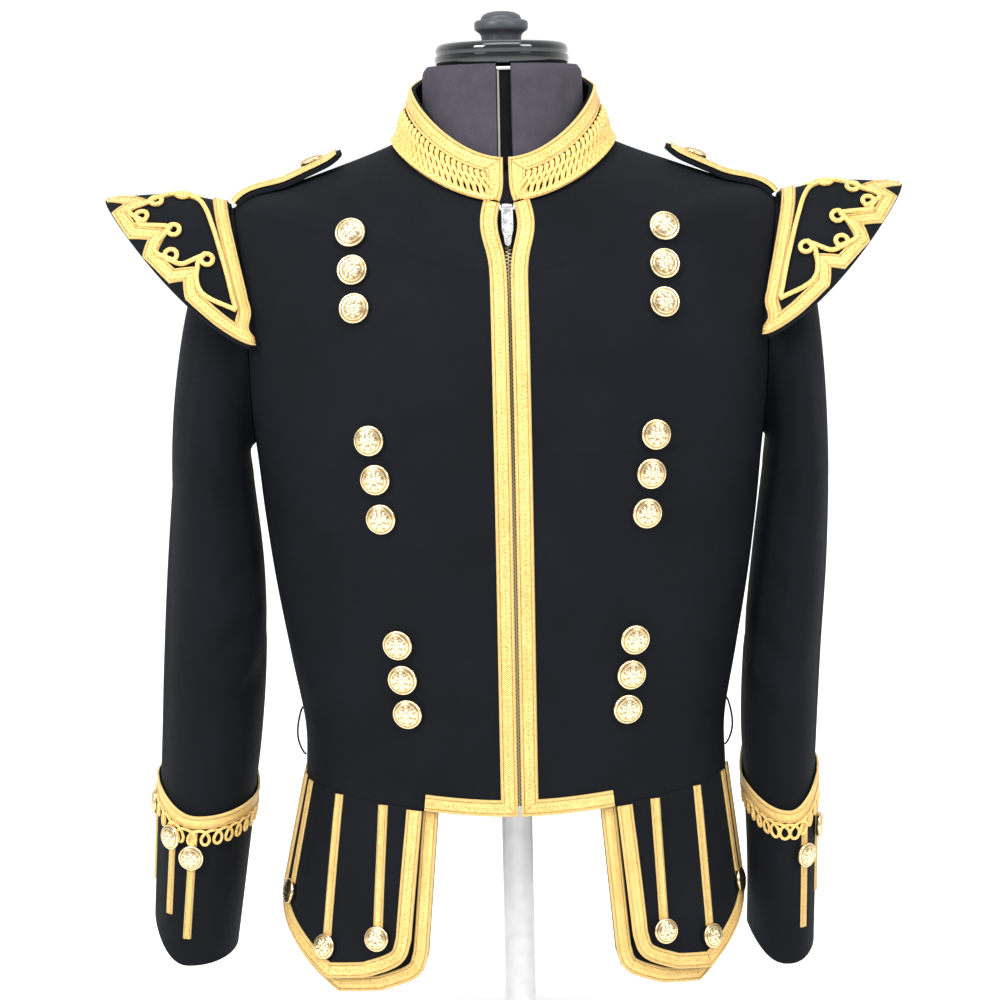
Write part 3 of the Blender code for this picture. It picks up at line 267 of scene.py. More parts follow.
# Dress form and stand
FORM_BOTTOM = 0.3350
FORM_EASE = ((1.0, 0.0080), (4.0, 0.0080), (6.5, 0.0060), (7.4, 0.0034), (8.0, 0.0020),
             (8.6, 0.0017), (10.1, 0.0010), (11.0, 0.0026))
FORM_ZIP_EASE = 0.0034
FORM_NECK_ROWS = (
    (0.7780, 0.8150, 0.8420, 0.0690, 0.0600, 0.0600, 2.05),
    (0.8020, 0.8290, 0.8480, 0.0640, 0.0558, 0.0575, 2.05),
    (0.8350, 0.8430, 0.8520, 0.0628, 0.0550, 0.0565, 2.05),
    (0.8555, 0.8560, 0.8565, 0.0622, 0.0545, 0.0560, 2.05),
    (0.8615, 0.8615, 0.8615, 0.0590, 0.0515, 0.0530, 2.05),
)
SLIT_HALF = 0.0060
SLIT_DEPTH = 0.0070
CAP_PROFILE = (
    (0.0000, 0.9040), (0.0060, 0.9038), (0.0110, 0.9028), (0.0145, 0.9008), (0.0157, 0.8988),
    (0.0160, 0.8974), (0.0186, 0.8970), (0.0203, 0.8962), (0.0210, 0.8948), (0.0210, 0.8906),
    (0.0203, 0.8892), (0.0186, 0.8880), (0.0168, 0.8866), (0.0158, 0.8846), (0.0156, 0.8812),
    (0.0165, 0.8800), (0.0400, 0.8797), (0.0470, 0.8792), (0.0505, 0.8778), (0.0519, 0.8752),
    (0.0520, 0.8722), (0.0512, 0.8708), (0.0512, 0.8700), (0.0526, 0.8692), (0.0527, 0.8660),
    (0.0522, 0.8636), (0.0506, 0.8619), (0.0480, 0.8618), (0.0000, 0.8618),
)
CAP_JOINT = 0.8799
STAND_PROFILE = (
    (0.0000, 0.3347), (0.0392, 0.3347), (0.0400, 0.3339), (0.0400, 0.3296), (0.0390, 0.3288),
    (0.0170, 0.3250), (0.0130, 0.3236), (0.0125, 0.3215), (0.0125, 0.0440), (0.0140, 0.0408),
    (0.0200, 0.0372), (0.0210, 0.0350), (0.0228, 0.0150), (0.0260, 0.0122), (0.1500, 0.0086),
    (0.1570, 0.0076), (0.1597, 0.0056), (0.1600, 0.0040), (0.1600, 0.0000), (0.0000, 0.0000),
)

# Colours, as linear red, green and blue
WOOL_DARK = (0.0021, 0.0028, 0.0042)
WOOL_LIGHT = (0.0050, 0.0065, 0.0096)
# Deep gold is reached by the random mottle and also gives the painted shade in the braid's grooves,
# chevron troughs and the cord's strand grooves
GOLD_DEEP = (0.270, 0.120, 0.018)
GOLD_MID = (0.730, 0.445, 0.112)
GOLD_LIGHT = (0.940, 0.695, 0.285)
GILT = (0.980, 0.810, 0.500)
# Dark gilt: painted shade in the buttons' hollows, mixed with random tarnish
GILT_SHADE_AND_TARNISH = (0.420, 0.250, 0.090)
NICKEL = (0.82, 0.82, 0.82)
BRASS = (0.300, 0.250, 0.150)
TAPE = (0.006, 0.006, 0.008)
FORM_GREY = (0.054, 0.050, 0.065)
BLACK_PLASTIC = (0.004, 0.005, 0.006)
KNOB_GREY = (0.038, 0.041, 0.052)
WHITE_PAINT = (0.86, 0.86, 0.86)
PALE_STRIP = (0.30, 0.27, 0.24)
SLIT_BLACK = (0.002, 0.002, 0.003)
WHITE_TAB = (0.80, 0.82, 0.84)
FLOOR_WHITE = (0.80, 0.80, 0.80)

# Distance between ribs, chevrons, turns and dots in the cloth and braid, and a chevron's rise
TWILL_PITCH = 0.0007
CHEVRON_PITCH = 0.0016
CHEVRON_RISE = 0.011
EDGE_TWIST = 0.0012
DOT_PITCH = 0.0032
CORD_LAY = 0.0024
WALE_PITCH = 0.0011
COURSE_PITCH = 0.0009

# Light of the room in front of the doublet, low and high, and behind it; the floor's own glow
ROOM_LOW = 0.28
ROOM_HIGH = 0.72
ROOM_BACK = 1.08
FLOOR_GLOW = 0.60
GLOW_NEAR = 0.16
GLOW_FAR = 0.55
FLOOR_HALF = 12.0
# Lamps: name, place, the height on the axis that it points at, size and power
LAMPS = (
    ("left_box", (-1.6, -1.8, 1.9), 0.70, (0.8, 1.1), 52),
    ("right_box", (1.6, -1.7, 1.8), 0.70, (0.8, 1.1), 28),
    ("top_box", (0.0, -0.9, 2.5), 0.80, (1.6, 1.0), 27),
)


class Surface:
    """A smooth surface given by two numbers, with its outward side and its soft creases."""

    STEP = 1e-4

    def __init__(self, shape, sense=1.0, creases=(), scale=(1.0, 1.0)):
        self.shape = shape
        self.sense = sense
        self.creases = creases
        self.scale = scale

    def slopes(self, p, q):
        """How far the point moves for a unit of each number."""
        h = self.STEP
        along_p = (self.shape(p + h, q) - self.shape(p - h, q)) / (2 * h)
        along_q = (self.shape(p, q + h) - self.shape(p, q - h)) / (2 * h)
        return along_p, along_q

    def normal(self, p, q):
        along_p, along_q = self.slopes(p, q)
        n = np.cross(along_p, along_q) * self.sense
        return n / np.linalg.norm(n, axis=-1, keepdims=True)

    def crease_height(self, p, q):
        """Each crease is a line between two places. Its height falls off across the line as
        a bell curve and fades in and out along it as a half circle."""
        total = np.zeros(np.broadcast(p, q).shape)
        for p0, q0, p1, q1, width, height in self.creases:
            along = np.array([(p1 - p0) * self.scale[0], (q1 - q0) * self.scale[1]])
            x, y = (p - p0) * self.scale[0], (q - q0) * self.scale[1]
            share = np.clip((x * along[0] + y * along[1]) / along.dot(along), 0, 1)
            off = np.hypot(x - share * along[0], y - share * along[1])
            total += height * np.exp(-(off / width) ** 2) * np.sqrt(4 * share * (1 - share))
        return total

    def at(self, p, q, lift=0.0):
        p, q = np.broadcast_arrays(np.asarray(p, float), np.asarray(q, float))
        lift = np.asarray(lift, float) + self.crease_height(p, q)
        return self.shape(p, q) + self.normal(p, q) * lift[..., None]


def smooth_rows(rows, v):
    """A smooth curve through the rows of a table, for each column, at row number v."""
    rows = np.asarray(rows, float)
    ends = 2 * rows[[0, -1]] - rows[[1, -2]]
    padded = np.concatenate([ends[:1], rows, ends[1:]])
    i = np.clip(np.floor(v).astype(int), 0, len(rows) - 2)
    f = (v - i)[..., None]
    a, b, c, d = (padded[i + k] for k in range(4))
    return 0.5 * (2 * b + (c - a) * f + (2 * a - 5 * b + 4 * c - d) * f**2
                  + (3 * b - 3 * c + d - a) * f**3)


def oval_point(angle, row):
    """Point of a body section at an angle from the centre front, in radians, left positive:
    a rounded oval whose height slides from front to side to back."""
    z_front, z_side, z_back, half_width, front, back, n = np.moveaxis(row, -1, 0)
    c, s = np.cos(angle), np.sin(angle)
    ahead = c >= 0
    depth = np.where(ahead, front, back)
    r = ((np.abs(c) / depth) ** n + (np.abs(s) / half_width) ** n) ** (-1 / n)
    z = z_side + np.where(ahead, z_front - z_side, z_back - z_side) * np.abs(c)**SHOULDER_FALL
    return np.stack([r * s, -r * c, z], axis=-1)


def body_shape(angle, v):
    return oval_point(angle, smooth_rows(BODY_ROWS, v))


def collar_shape(angle, v):
    return oval_point(angle, smooth_rows(COLLAR_ROWS, v))


def ring_heights(heights, around):
    """Height at an angle round a sleeve, from those at its inner side, front, outer, back."""
    inner, front, outer, back = heights
    c, s = np.cos(around), np.sin(around)
    return np.where(c > 0, inner, outer) * c**2 + np.where(s > 0, front, back) * s**2


def sleeve_section(side, around, z):
    """Point of a sleeve at an angle from its inner side by way of the front, and a height."""
    curve = smooth_rows(SLEEVE_ROWS[side], np.linspace(0, len(SLEEVE_ROWS[side]) - 1, 121))
    inner, outer, front, back = (np.interp(z, curve[:, 0], curve[:, k]) for k in range(1, 5))
    c, s = np.cos(around), np.sin(around)
    power = 2 / SLEEVE_ROUNDNESS
    x = (inner + outer) / 2 - (outer - inner) / 2 * np.sign(c) * np.abs(c) ** power
    y = (front + back) / 2 - (back - front) / 2 * np.sign(s) * np.abs(s) ** power
    return np.stack([side * x, y, z], axis=-1)


def sleeve_shape(side):
    """Sleeve surface. 0 to 1 is the cap, from the armhole, 1 to 2 the arm and 2 to 3 the cuff.
    The cap is a cubic curve from the armhole to the top ring of the arm."""

    def shape(around, v):
        around, v = np.broadcast_arrays(around, v)
        up = (1 - np.cos(around)) / 2
        row = ARMPIT_ROW + (SHOULDER_ROW - ARMPIT_ROW) * up
        cut = math.radians(ARMHOLE_CUT) * np.sin(around)
        start = body_shape(side * (math.pi / 2 - cut), row)
        end = sleeve_section(side, around, np.full_like(around, SLEEVE_TOP))
        leave = np.stack([side * (CAP_OUT[0] + CAP_OUT[1] * up), -CAP_ROUND * np.sin(around),
                          -CAP_DOWN[0] - CAP_DOWN[1] * up], axis=-1)
        arrive = np.stack([0 * up, 0 * up, -CAP_ARRIVE[0] - CAP_ARRIVE[1] * up], axis=-1)
        t = np.clip(v, 0, 1)[..., None]
        cap = ((2 * t**3 - 3 * t**2 + 1) * start + (t**3 - 2 * t**2 + t) * leave
               + (3 * t**2 - 2 * t**3) * end + (t**3 - t**2) * arrive)
        seam = ring_heights(CUFF_SEAM[side], around)
        edge = ring_heights(CUFF_EDGE[side], around)
        arm, cuff = np.clip(v - 1, 0, 1), np.clip(v - 2, -1, 2)
        z = np.where(v < 2, SLEEVE_TOP + (seam - SLEEVE_TOP) * arm,
                     seam + (edge - seam) * cuff)
        below = sleeve_section(side, around, z)
        over = sleeve_section(side, around, SLEEVE_TOP + np.maximum(0, 1 - v) * 0.1)
        cap = np.where(v[..., None] < 0, start + leave * v[..., None], cap)
        return np.where((v < 1)[..., None], cap, np.where(v[..., None] < 1, over, below))

    return shape


def wing_shape(side):
    """Wing surface, by the angle round the shoulder from the front and the share of width:
    straight lines from the shoulder to the free edge, a little domed."""

    def shape(around, t):
        around, t = np.broadcast_arrays(around, t)
        s, c = np.abs(np.sin(around)), np.cos(around)
        row = WING_LOW_ROW + (SHOULDER_ROW - WING_LOW_ROW) * s**WING_INNER_RISE
        angle = side * (math.pi / 2 - math.radians(WING_INNER_ANGLE) * c)
        inner = PLAIN_BODY.at(angle, row, WING_LIFT)
        outer = np.stack([
            side * (WING_LOW[0] + (WING_TIP[0] - WING_LOW[0]) * s),
            -WING_LOW[1] * c,
            WING_LOW[2] + (WING_TIP[2] - WING_LOW[2]) * s**WING_OUTER_RISE,
        ], axis=-1)
        dome = WING_DOME * 4 * t * (1 - t) * s
        swell = np.stack([0 * t, -dome * c, dome * s], axis=-1)
        return inner + (outer - inner) * t[..., None] + swell

    return shape


def skirt_shape(side, behind):
    """Skirt surface, by the angle from the centre front or back and the drop from the waist:
    the waist's oval, growing with the drop."""

    def shape(angle, drop):
        angle, drop = np.broadcast_arrays(angle, drop)
        row = np.broadcast_to(np.array(BODY_ROWS[0]), angle.shape + (7,)).copy()
        row[..., 3] += SKIRT_FLARE[side] * drop
        row[..., 4] += SKIRT_FRONT_FLARE * drop
        row[..., 5] += SKIRT_FRONT_FLARE * drop
        point = oval_point(side * (math.pi - angle if behind else angle), row)
        point[..., 2] -= drop + SEAM_GAP
        return point

    return shape


# Soft creases: two ends in the surface's own numbers, width and height in metres.
# A trough has a negative height. Angles are radians from the centre front, left positive
BODY_CREASES = (
    (1.28, 4.6, 1.02, 2.2, 0.016, -0.0026), (-1.26, 4.8, -0.98, 2.5, 0.017, -0.0028),
    (1.10, 6.9, 0.72, 6.0, 0.014, -0.0013), (-1.12, 6.6, -0.80, 5.5, 0.015, -0.0015),
    (0.95, 1.35, 1.45, 1.05, 0.010, -0.0016), (-0.90, 1.10, -1.42, 1.45, 0.011, -0.0017),
    (0.70, 2.3, 1.15, 1.9, 0.013, 0.0013), (-0.62, 2.1, -1.10, 2.4, 0.012, 0.0012),
    (0.40, 1.6, 0.86, 1.25, 0.012, -0.0009), (-0.45, 1.3, -0.84, 1.7, 0.012, -0.0010),
    (0.78, 0.15, 0.74, 2.4, 0.0030, -0.0009), (-0.78, 0.15, -0.74, 2.4, 0.0030, -0.0009),
    (3.14, 0.2, 3.14, 10.6, 0.0032, -0.0008),
    (2.45, 0.3, 2.28, 4.9, 0.0032, -0.0008), (3.83, 0.3, 4.00, 4.9, 0.0032, -0.0008),
    (2.05, 4.9, 2.40, 2.6, 0.016, -0.0024), (4.24, 5.0, 3.86, 2.9, 0.018, -0.0026),
    (2.70, 1.5, 2.10, 1.1, 0.011, -0.0016), (3.60, 1.2, 4.20, 1.6, 0.012, -0.0018),
    (2.90, 2.2, 2.30, 2.6, 0.014, 0.0014), (3.42, 2.5, 3.98, 2.1, 0.013, 0.0012),
    (2.62, 7.2, 2.36, 5.4, 0.020, 0.0020), (3.68, 7.0, 3.94, 5.2, 0.021, 0.0019),
    (2.95, 9.6, 2.35, 8.7, 0.014, -0.0010), (3.33, 9.7, 3.92, 8.8, 0.015, -0.0011),
)
SLEEVE_CREASES = {
    -1: (
        (2.62, 1.02, 2.66, 1.98, 0.0035, 0.0012), (2.66, 2.03, 2.66, 2.95, 0.0035, 0.0010),
        (0.35, 1.36, 1.55, 1.50, 0.011, -0.0030), (0.10, 1.56, 1.35, 1.66, 0.012, -0.0026),
        (0.45, 1.20, 1.30, 1.30, 0.013, -0.0018), (5.10, 1.40, 6.10, 1.52, 0.013, -0.0024),
        (4.20, 1.52, 5.20, 1.62, 0.012, -0.0018), (0.90, 1.05, 1.80, 0.70, 0.014, -0.0022),
        (2.05, 0.95, 2.25, 0.35, 0.012, -0.0014), (4.30, 0.95, 4.10, 0.40, 0.014, -0.0020),
        (1.15, 1.74, 1.75, 1.95, 0.012, 0.0014), (0.80, 1.60, 1.90, 1.42, 0.011, 0.0013),
    ),
    1: (
        (2.60, 1.02, 2.62, 1.98, 0.0035, 0.0012), (2.62, 2.03, 2.64, 2.95, 0.0035, 0.0010),
        (0.25, 1.42, 1.45, 1.55, 0.012, -0.0028), (0.30, 1.60, 1.50, 1.72, 0.011, -0.0022),
        (0.50, 1.26, 1.25, 1.34, 0.012, -0.0020), (5.00, 1.44, 6.00, 1.57, 0.012, -0.0025),
        (4.10, 1.58, 5.10, 1.68, 0.013, -0.0017), (0.85, 1.10, 1.75, 0.78, 0.013, -0.0024),
        (2.10, 1.00, 2.20, 0.42, 0.013, -0.0015), (4.25, 0.98, 4.15, 0.45, 0.013, -0.0018),
        (1.20, 1.80, 1.80, 1.98, 0.012, 0.0012), (0.90, 1.66, 2.00, 1.50, 0.012, 0.0014),
    ),
}
WING_CREASES = (
    (0.90, 0.30, 0.98, 0.86, 0.010, -0.0008), (1.35, 0.20, 1.42, 0.80, 0.012, 0.0008),
    (2.10, 0.25, 2.20, 0.85, 0.011, -0.0009),
)
SKIRT_CREASES = (
    (0.93, 0.012, 0.90, 0.118, 0.009, -0.0013), (1.19, 0.010, 1.22, 0.100, 0.010, 0.0012),
    (0.74, 0.020, 0.73, 0.095, 0.008, 0.0008),
)

PLAIN_BODY = Surface(body_shape)
BODY = Surface(body_shape, 1.0, BODY_CREASES, (0.150, 0.052))
COLLAR = Surface(collar_shape)
SLEEVES = {
    side: Surface(sleeve_shape(side), -side, SLEEVE_CREASES[side], (0.050, 0.260))
    for side in (-1, 1)
}
WINGS = {side: Surface(wing_shape(side), -side, WING_CREASES, (0.09, 0.10)) for side in (-1, 1)}
SKIRTS = {
    (side, behind): Surface(skirt_shape(side, behind), side if behind else -side,
                            SKIRT_CREASES, (0.14, 1.0))
    for side in (-1, 1) for behind in (False, True)
}


def side_name(side):
    return "left" if side > 0 else "right"


def row_at_height(angle, z):
    """Row number of the body at a height, for each angle."""
    rows = np.linspace(0, NECK_ROW, 441)
    angle, z = np.broadcast_arrays(np.atleast_1d(angle).astype(float), np.asarray(z, float))
    flat = [np.interp(h, body_shape(np.full_like(rows, a), rows)[:, 2], rows)
            for a, h in zip(angle.ravel(), z.ravel())]
    return np.reshape(flat, angle.shape)


def angle_at_reach(x, v):
    """Angle on the front at which the body is x from the middle, at row v."""
    x, v = np.broadcast_arrays(np.asarray(x, float), np.asarray(v, float))
    angle = x / FRONT_RADIUS
    for _ in range(12):
        angle = angle - (body_shape(angle, v)[..., 0] - x) / 0.14
    return angle


def front_point(x, z):
    """Angle and row of the point of the front at a distance from the middle and a height."""
    x, z = np.broadcast_arrays(np.atleast_1d(x).astype(float), np.asarray(z, float))
    angle = np.arctan2(x, FRONT_RADIUS)
    for _ in range(6):
        v = row_at_height(angle, z)
        angle = np.sign(x) * angle_at_reach(np.abs(x), v)
    return angle, row_at_height(angle, z)


def front_gap(z):
    """Half the distance between the front edges, wider round the slider."""
    near = np.exp(-((z - ZIP_OPENING_HEIGHT) / ZIP_OPENING_SPREAD) ** 2)
    return ZIP_HALF_GAP + ZIP_OPENING * near


def armhole_cut(v):
    """Angle that the armhole takes from the front or back panel at row v, in radians."""
    q = np.clip((v - ARMPIT_ROW) / (SHOULDER_ROW - ARMPIT_ROW), 0, 1)
    return math.radians(ARMHOLE_CUT) * np.sqrt(1 - (1 - 2 * q) ** 2)


def front_edge(rows):
    """Angle of the front's edge at each row."""
    z = body_shape(np.full_like(rows, 0.03), rows)[:, 2]
    return angle_at_reach(front_gap(z), rows)


def new_mesh(name, points, quads, uv, uv_quads, caps=()):
    """A mesh from arrays: quads, and caps with any number of corners, which get no UV."""
    corners = [quads.ravel()] + [np.asarray(cap) for cap in caps]
    starts = list(range(0, quads.size, 4))
    for cap in caps:
        starts.append(starts[-1] + (4 if len(starts) == len(quads) else before))
        before = len(cap)
    corners = np.concatenate(corners).astype(np.int32)
    mesh = bpy.data.meshes.new(name)
    mesh.vertices.add(len(points))
    mesh.vertices.foreach_set("co", np.asarray(points, np.float32).ravel())
    mesh.loops.add(len(corners))
    mesh.loops.foreach_set("vertex_index", corners)
    mesh.polygons.add(len(starts))
    mesh.polygons.foreach_set("loop_start", np.array(starts, np.int32))
    mesh.update(calc_edges=True)
    places = np.zeros((len(corners), 2), np.float32)
    places[:quads.size] = uv[uv_quads.ravel()]
    layer = mesh.uv_layers.new(name="UVMap")
    layer.data.foreach_set("uv", places.ravel())
    mesh.validate()
    mesh.shade_smooth()
    mesh.set_sharp_from_angle(angle=math.radians(50))
    return mesh


def new_piece(name, mesh, material, slot, body, *nodes):
    """An object that rides on a body, takes a finish and stands for these solids. The slot is not
    used.
    """
    piece = bpy.data.objects.new(name, mesh)
    bpy.context.scene.collection.objects.link(piece)
    piece.data.materials.clear()
    piece.data.materials.append(material)
    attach(piece, body)
    if nodes:
        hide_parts(*nodes)
    return piece


def grid_quads(rows, columns, closed=False):
    """Corner numbers of a grid's quads; the last column is joined to the first if closed."""
    r = np.arange(rows - 1)[:, None]
    c = np.arange(columns if closed else columns - 1)[None, :]
    after = (c + 1) % columns
    return np.stack([r * columns + c, r * columns + after, (r + 1) * columns + after,
                     (r + 1) * columns + c], axis=-1).reshape(-1, 4)


def lengths(points, axis):
    """Distance along one axis of a grid of points, from its start."""
    steps = np.linalg.norm(np.diff(points, axis=axis), axis=-1)
    zero = np.zeros_like(np.take(steps, [0], axis=axis))
    return np.cumsum(np.concatenate([zero, steps], axis=axis), axis=axis)


def shell_mesh(name, outer, inner, closed=False, uv=None):
    """A wall between two grids of points, shut along its edges. Its UV is the distance along
    the outer grid, in metres, unless given."""
    rows, columns = outer.shape[:2]
    points = np.concatenate([outer.reshape(-1, 3), inner.reshape(-1, 3)])
    within = rows * columns
    grid = np.arange(within).reshape(rows, columns)
    skin = grid_quads(rows, columns, closed)
    wide = columns + 1 if closed else columns
    shown = np.concatenate([outer, outer[:, :1]], axis=1) if closed else outer
    if uv is None:
        across, down = lengths(shown, 1), lengths(shown, 0)
        uv = np.stack([across - across[:, -1:] / 2, down], axis=-1)
    uv_grid = np.arange(rows * wide).reshape(rows, wide)
    uv_skin = grid_quads(rows, wide)
    if closed:
        rims = [np.append(grid[0], grid[0, 0]), np.append(grid[-1], grid[-1, 0])[::-1]]
        uv_rims = [uv_grid[0], uv_grid[-1][::-1]]
    else:
        rims = [np.concatenate([grid[0], grid[1:, -1], grid[-1, -2::-1], grid[-2::-1, 0]])]
        uv_rims = [np.concatenate([uv_grid[0], uv_grid[1:, -1], uv_grid[-1, -2::-1],
                                   uv_grid[-2::-1, 0]])]
    edges = [np.stack([rim[1:], rim[:-1], rim[:-1] + within, rim[1:] + within], axis=1)
             for rim in rims]
    uv_edges = [np.stack([rim[1:], rim[:-1], rim[:-1], rim[1:]], axis=1) for rim in uv_rims]
    quads = np.concatenate([skin, skin[:, ::-1] + within] + edges)
    uv_quads = np.concatenate([uv_skin, uv_skin[:, ::-1]] + uv_edges)
    corners = points[skin]
    facing = np.cross(corners[:, 2] - corners[:, 0], corners[:, 3] - corners[:, 1])
    if np.sum(facing * (points[skin[:, 0]] - points[skin[:, 0] + within])) < 0:
        quads, uv_quads = quads[:, ::-1], uv_quads[:, ::-1]
    return new_mesh(name, points, quads, uv.reshape(-1, 2), uv_quads)


def cloth_mesh(name, surface, p, q, thickness, lift=0.0, closed=False):
    """A cloth wall on a surface: its outer points, and the same ones moved in."""
    p, q = np.broadcast_arrays(np.asarray(p, float), np.asarray(q, float))
    lift = np.asarray(lift, float)
    return shell_mesh(name, surface.at(p, q, lift), surface.at(p, q, lift - thickness), closed)


def frames(surface, p, q):
    """From steps in the surface's numbers to metres along two perpendicular directions on it:
    the three entries of the matrix that aren't zero, at each point."""
    along_p, along_q = surface.slopes(p, q)
    a = np.linalg.norm(along_p, axis=-1)
    first = along_p / a[..., None]
    b = np.sum(along_q * first, axis=-1)
    rest = along_q - first * b[..., None]
    return a, b, np.linalg.norm(rest, axis=-1)


def moved(surface, p, q, x, y):
    """The surface's numbers of a point x and y metres away from p, q, along its directions."""
    a, b, d = frames(surface, p, q)
    dq = y / d
    return p + (x - b * dq) / a, q + dq


def run_length(surface, run):
    """Distance along a run of points on a surface."""
    return lengths(surface.shape(run[:, 0], run[:, 1]), 0)


def metre_way(surface, point, step):
    """Direction of a small step on a surface, in metres along its directions."""
    a, b, d = frames(surface, point[0], point[1])
    way = np.array([a * step[0] + b * step[1], d * step[1]])
    return way / np.linalg.norm(way)


def ribbon_grid(surface, runs, left, right, shares, step, closed):
    """Points of a flat band along a path, in the surface's numbers, and their UV.

    The path is a list of smooth runs that meet at corners. Rows lie straight across the path,
    and lean over near a corner until they meet the next run's on the mitre. The UV is the
    share across and the distance along, in metres."""
    count = len(runs)
    mitres = []
    for k, run in enumerate(runs):
        after = runs[(k + 1) % count]
        if k == count - 1 and not closed:
            mitres.append(0.0)
            continue
        one = metre_way(surface, run[-1], run[-1] - run[-2])
        two = metre_way(surface, after[0], after[1] - after[0])
        turn = math.atan2(one[0] * two[1] - one[1] * two[0], one.dot(two))
        mitres.append(math.tan(np.clip(turn, -2.3, 2.3) / 2))
    offset = left + (-right - left) * shares
    grids, places, total = [], [], 0.0
    for k, run in enumerate(runs):
        along = run_length(surface, run)
        long = along[-1]
        start = mitres[k - 1] if closed or k > 0 else 0.0
        end = mitres[k]
        rows = max(2, math.ceil(long / step) + 1)
        s = np.linspace(0, long, rows)
        reach = max(abs(left), abs(right)) * max(abs(start), abs(end)) * 1.15 + 1e-6
        near_start = np.clip(1 - s / min(reach, long / 2), 0, 1)
        near_end = np.clip(1 - (long - s) / min(reach, long / 2), 0, 1)
        v = s[:, None] + np.outer(near_start, offset) * start - np.outer(near_end, offset) * end
        margin = 0.05
        first = run[0] - (run[1] - run[0]) * margin / along[1]
        last = run[-1] + (run[-1] - run[-2]) * margin / (long - along[-2])
        run = np.concatenate([[first], run, [last]])
        along = np.concatenate([[-margin], along, [long + margin]])
        p, q = np.interp(v, along, run[:, 0]), np.interp(v, along, run[:, 1])
        h = 5e-4
        dp = np.interp(v + h, along, run[:, 0]) - np.interp(v - h, along, run[:, 0])
        dq = np.interp(v + h, along, run[:, 1]) - np.interp(v - h, along, run[:, 1])
        a, b, d = frames(surface, p, q)
        way = np.stack([a * dp + b * dq, d * dq], axis=-1)
        way /= np.linalg.norm(way, axis=-1, keepdims=True)
        p, q = moved(surface, p, q, -way[..., 1] * offset, way[..., 0] * offset)
        grids.append(np.stack([p, q], axis=-1))
        places.append(np.stack([np.broadcast_to(shares, v.shape), v + total], axis=-1))
        total += long
    for k in range(1 if not closed else 0, count):
        if k == 0 and count == 1:
            continue
        grids[k][0] = (grids[k][0] + grids[k - 1][-1]) / 2
    joined = [grid[:-1] for grid in grids]
    uv = [place[:-1] for place in places]
    if not closed:
        joined.append(grids[-1][-1:])
    uv.append(places[-1][-1:])
    return np.concatenate(joined), np.concatenate(uv)


# A flat braid's section, as share across and height: a cord along each edge, a shallow
# valley inside it and a low rib down the middle
BRAID_SECTION = (
    (0.00, 0.30), (0.03, 0.72), (0.085, 1.00), (0.14, 0.92), (0.19, 0.62), (0.26, 0.66),
    (0.42, 0.76), (0.50, 0.80), (0.58, 0.76), (0.74, 0.66), (0.81, 0.62), (0.86, 0.92),
    (0.915, 1.00), (0.97, 0.72), (1.00, 0.30),
)
NARROW_SECTION = (
    (0.00, 0.30), (0.10, 0.85), (0.24, 1.00), (0.40, 0.70), (0.50, 0.64), (0.60, 0.70),
    (0.76, 1.00), (0.90, 0.85), (1.00, 0.30),
)


def ribbon_mesh(name, surface, runs, left, right, lift, thick=BRAID_THICK,
                section=BRAID_SECTION, step=0.0025, closed=False):
    """A braid that lies on a surface along a path, with the section above."""
    runs = [np.array(run, float) for run in runs]
    shares, heights = np.array(section).T
    grid, uv = ribbon_grid(surface, runs, left, right, shares, step, closed)
    grid, uv = grid.transpose(1, 0, 2), uv.transpose(1, 0, 2)
    outer = surface.at(grid[..., 0], grid[..., 1], lift + thick * heights[:, None])
    inner = surface.at(grid[..., 0], grid[..., 1], lift)
    return shell_mesh(name, outer, inner, closed, uv)


def straight(*corners):
    """Runs along straight lines between corners, in a surface's numbers."""
    return [np.linspace(a, b, 12) for a, b in zip(corners[:-1], corners[1:])]


def smooth_line(points, count):
    """A smooth curve through points."""
    points = np.asarray(points, float)
    return smooth_rows(points, np.linspace(0, len(points) - 1, count))


def cord_mesh(name, centres, outward, radius, sides=8, closed=False):
    """A round cord along a line: rings across it, with a UV of turn and distance."""
    ahead = np.gradient(centres, axis=0)
    if closed:
        ahead = np.roll(centres, -1, axis=0) - np.roll(centres, 1, axis=0)
    ahead /= np.linalg.norm(ahead, axis=-1, keepdims=True)
    across = np.cross(ahead, outward)
    across /= np.linalg.norm(across, axis=-1, keepdims=True)
    up = np.cross(across, ahead)
    turn = np.arange(sides) * 2 * math.pi / sides
    ring = (across[:, None] * np.cos(turn)[:, None] + up[:, None] * np.sin(turn)[:, None])
    points = centres[:, None] + ring * radius
    count = len(centres)
    quads = grid_quads(count, sides, True)
    uv_quads = grid_quads(count, sides + 1)
    far = lengths(centres[:, None], 0)
    uv = np.stack(np.broadcast_arrays(np.linspace(0, 1, sides + 1)[None], far), axis=-1)
    caps = ()
    if closed:
        last, first = (count - 1) * sides, np.arange(sides)
        bridge = np.stack([last + first, last + (first + 1) % sides, (first + 1) % sides,
                           first], axis=1)
        quads = np.concatenate([quads, bridge])
        uv_last = (count - 1) * (sides + 1) + first
        uv_quads = np.concatenate(
            [uv_quads, np.stack([uv_last, uv_last + 1, uv_last + 1, uv_last], axis=1)])
    else:
        caps = (np.arange(sides), ((count - 1) * sides + np.arange(sides))[::-1])
    return new_mesh(name, points.reshape(-1, 3), quads[:, ::-1], uv.reshape(-1, 2),
                    uv_quads[:, ::-1], caps)


def cord_on(name, surface, line, radius, lift=0.0, sides=8, closed=False):
    """A round cord that lies on a surface along a line given in its numbers."""
    p, q = line[:, 0], line[:, 1]
    centres = surface.at(p, q, lift + radius)
    return cord_mesh(name, centres, surface.normal(p, q), radius, sides, closed)


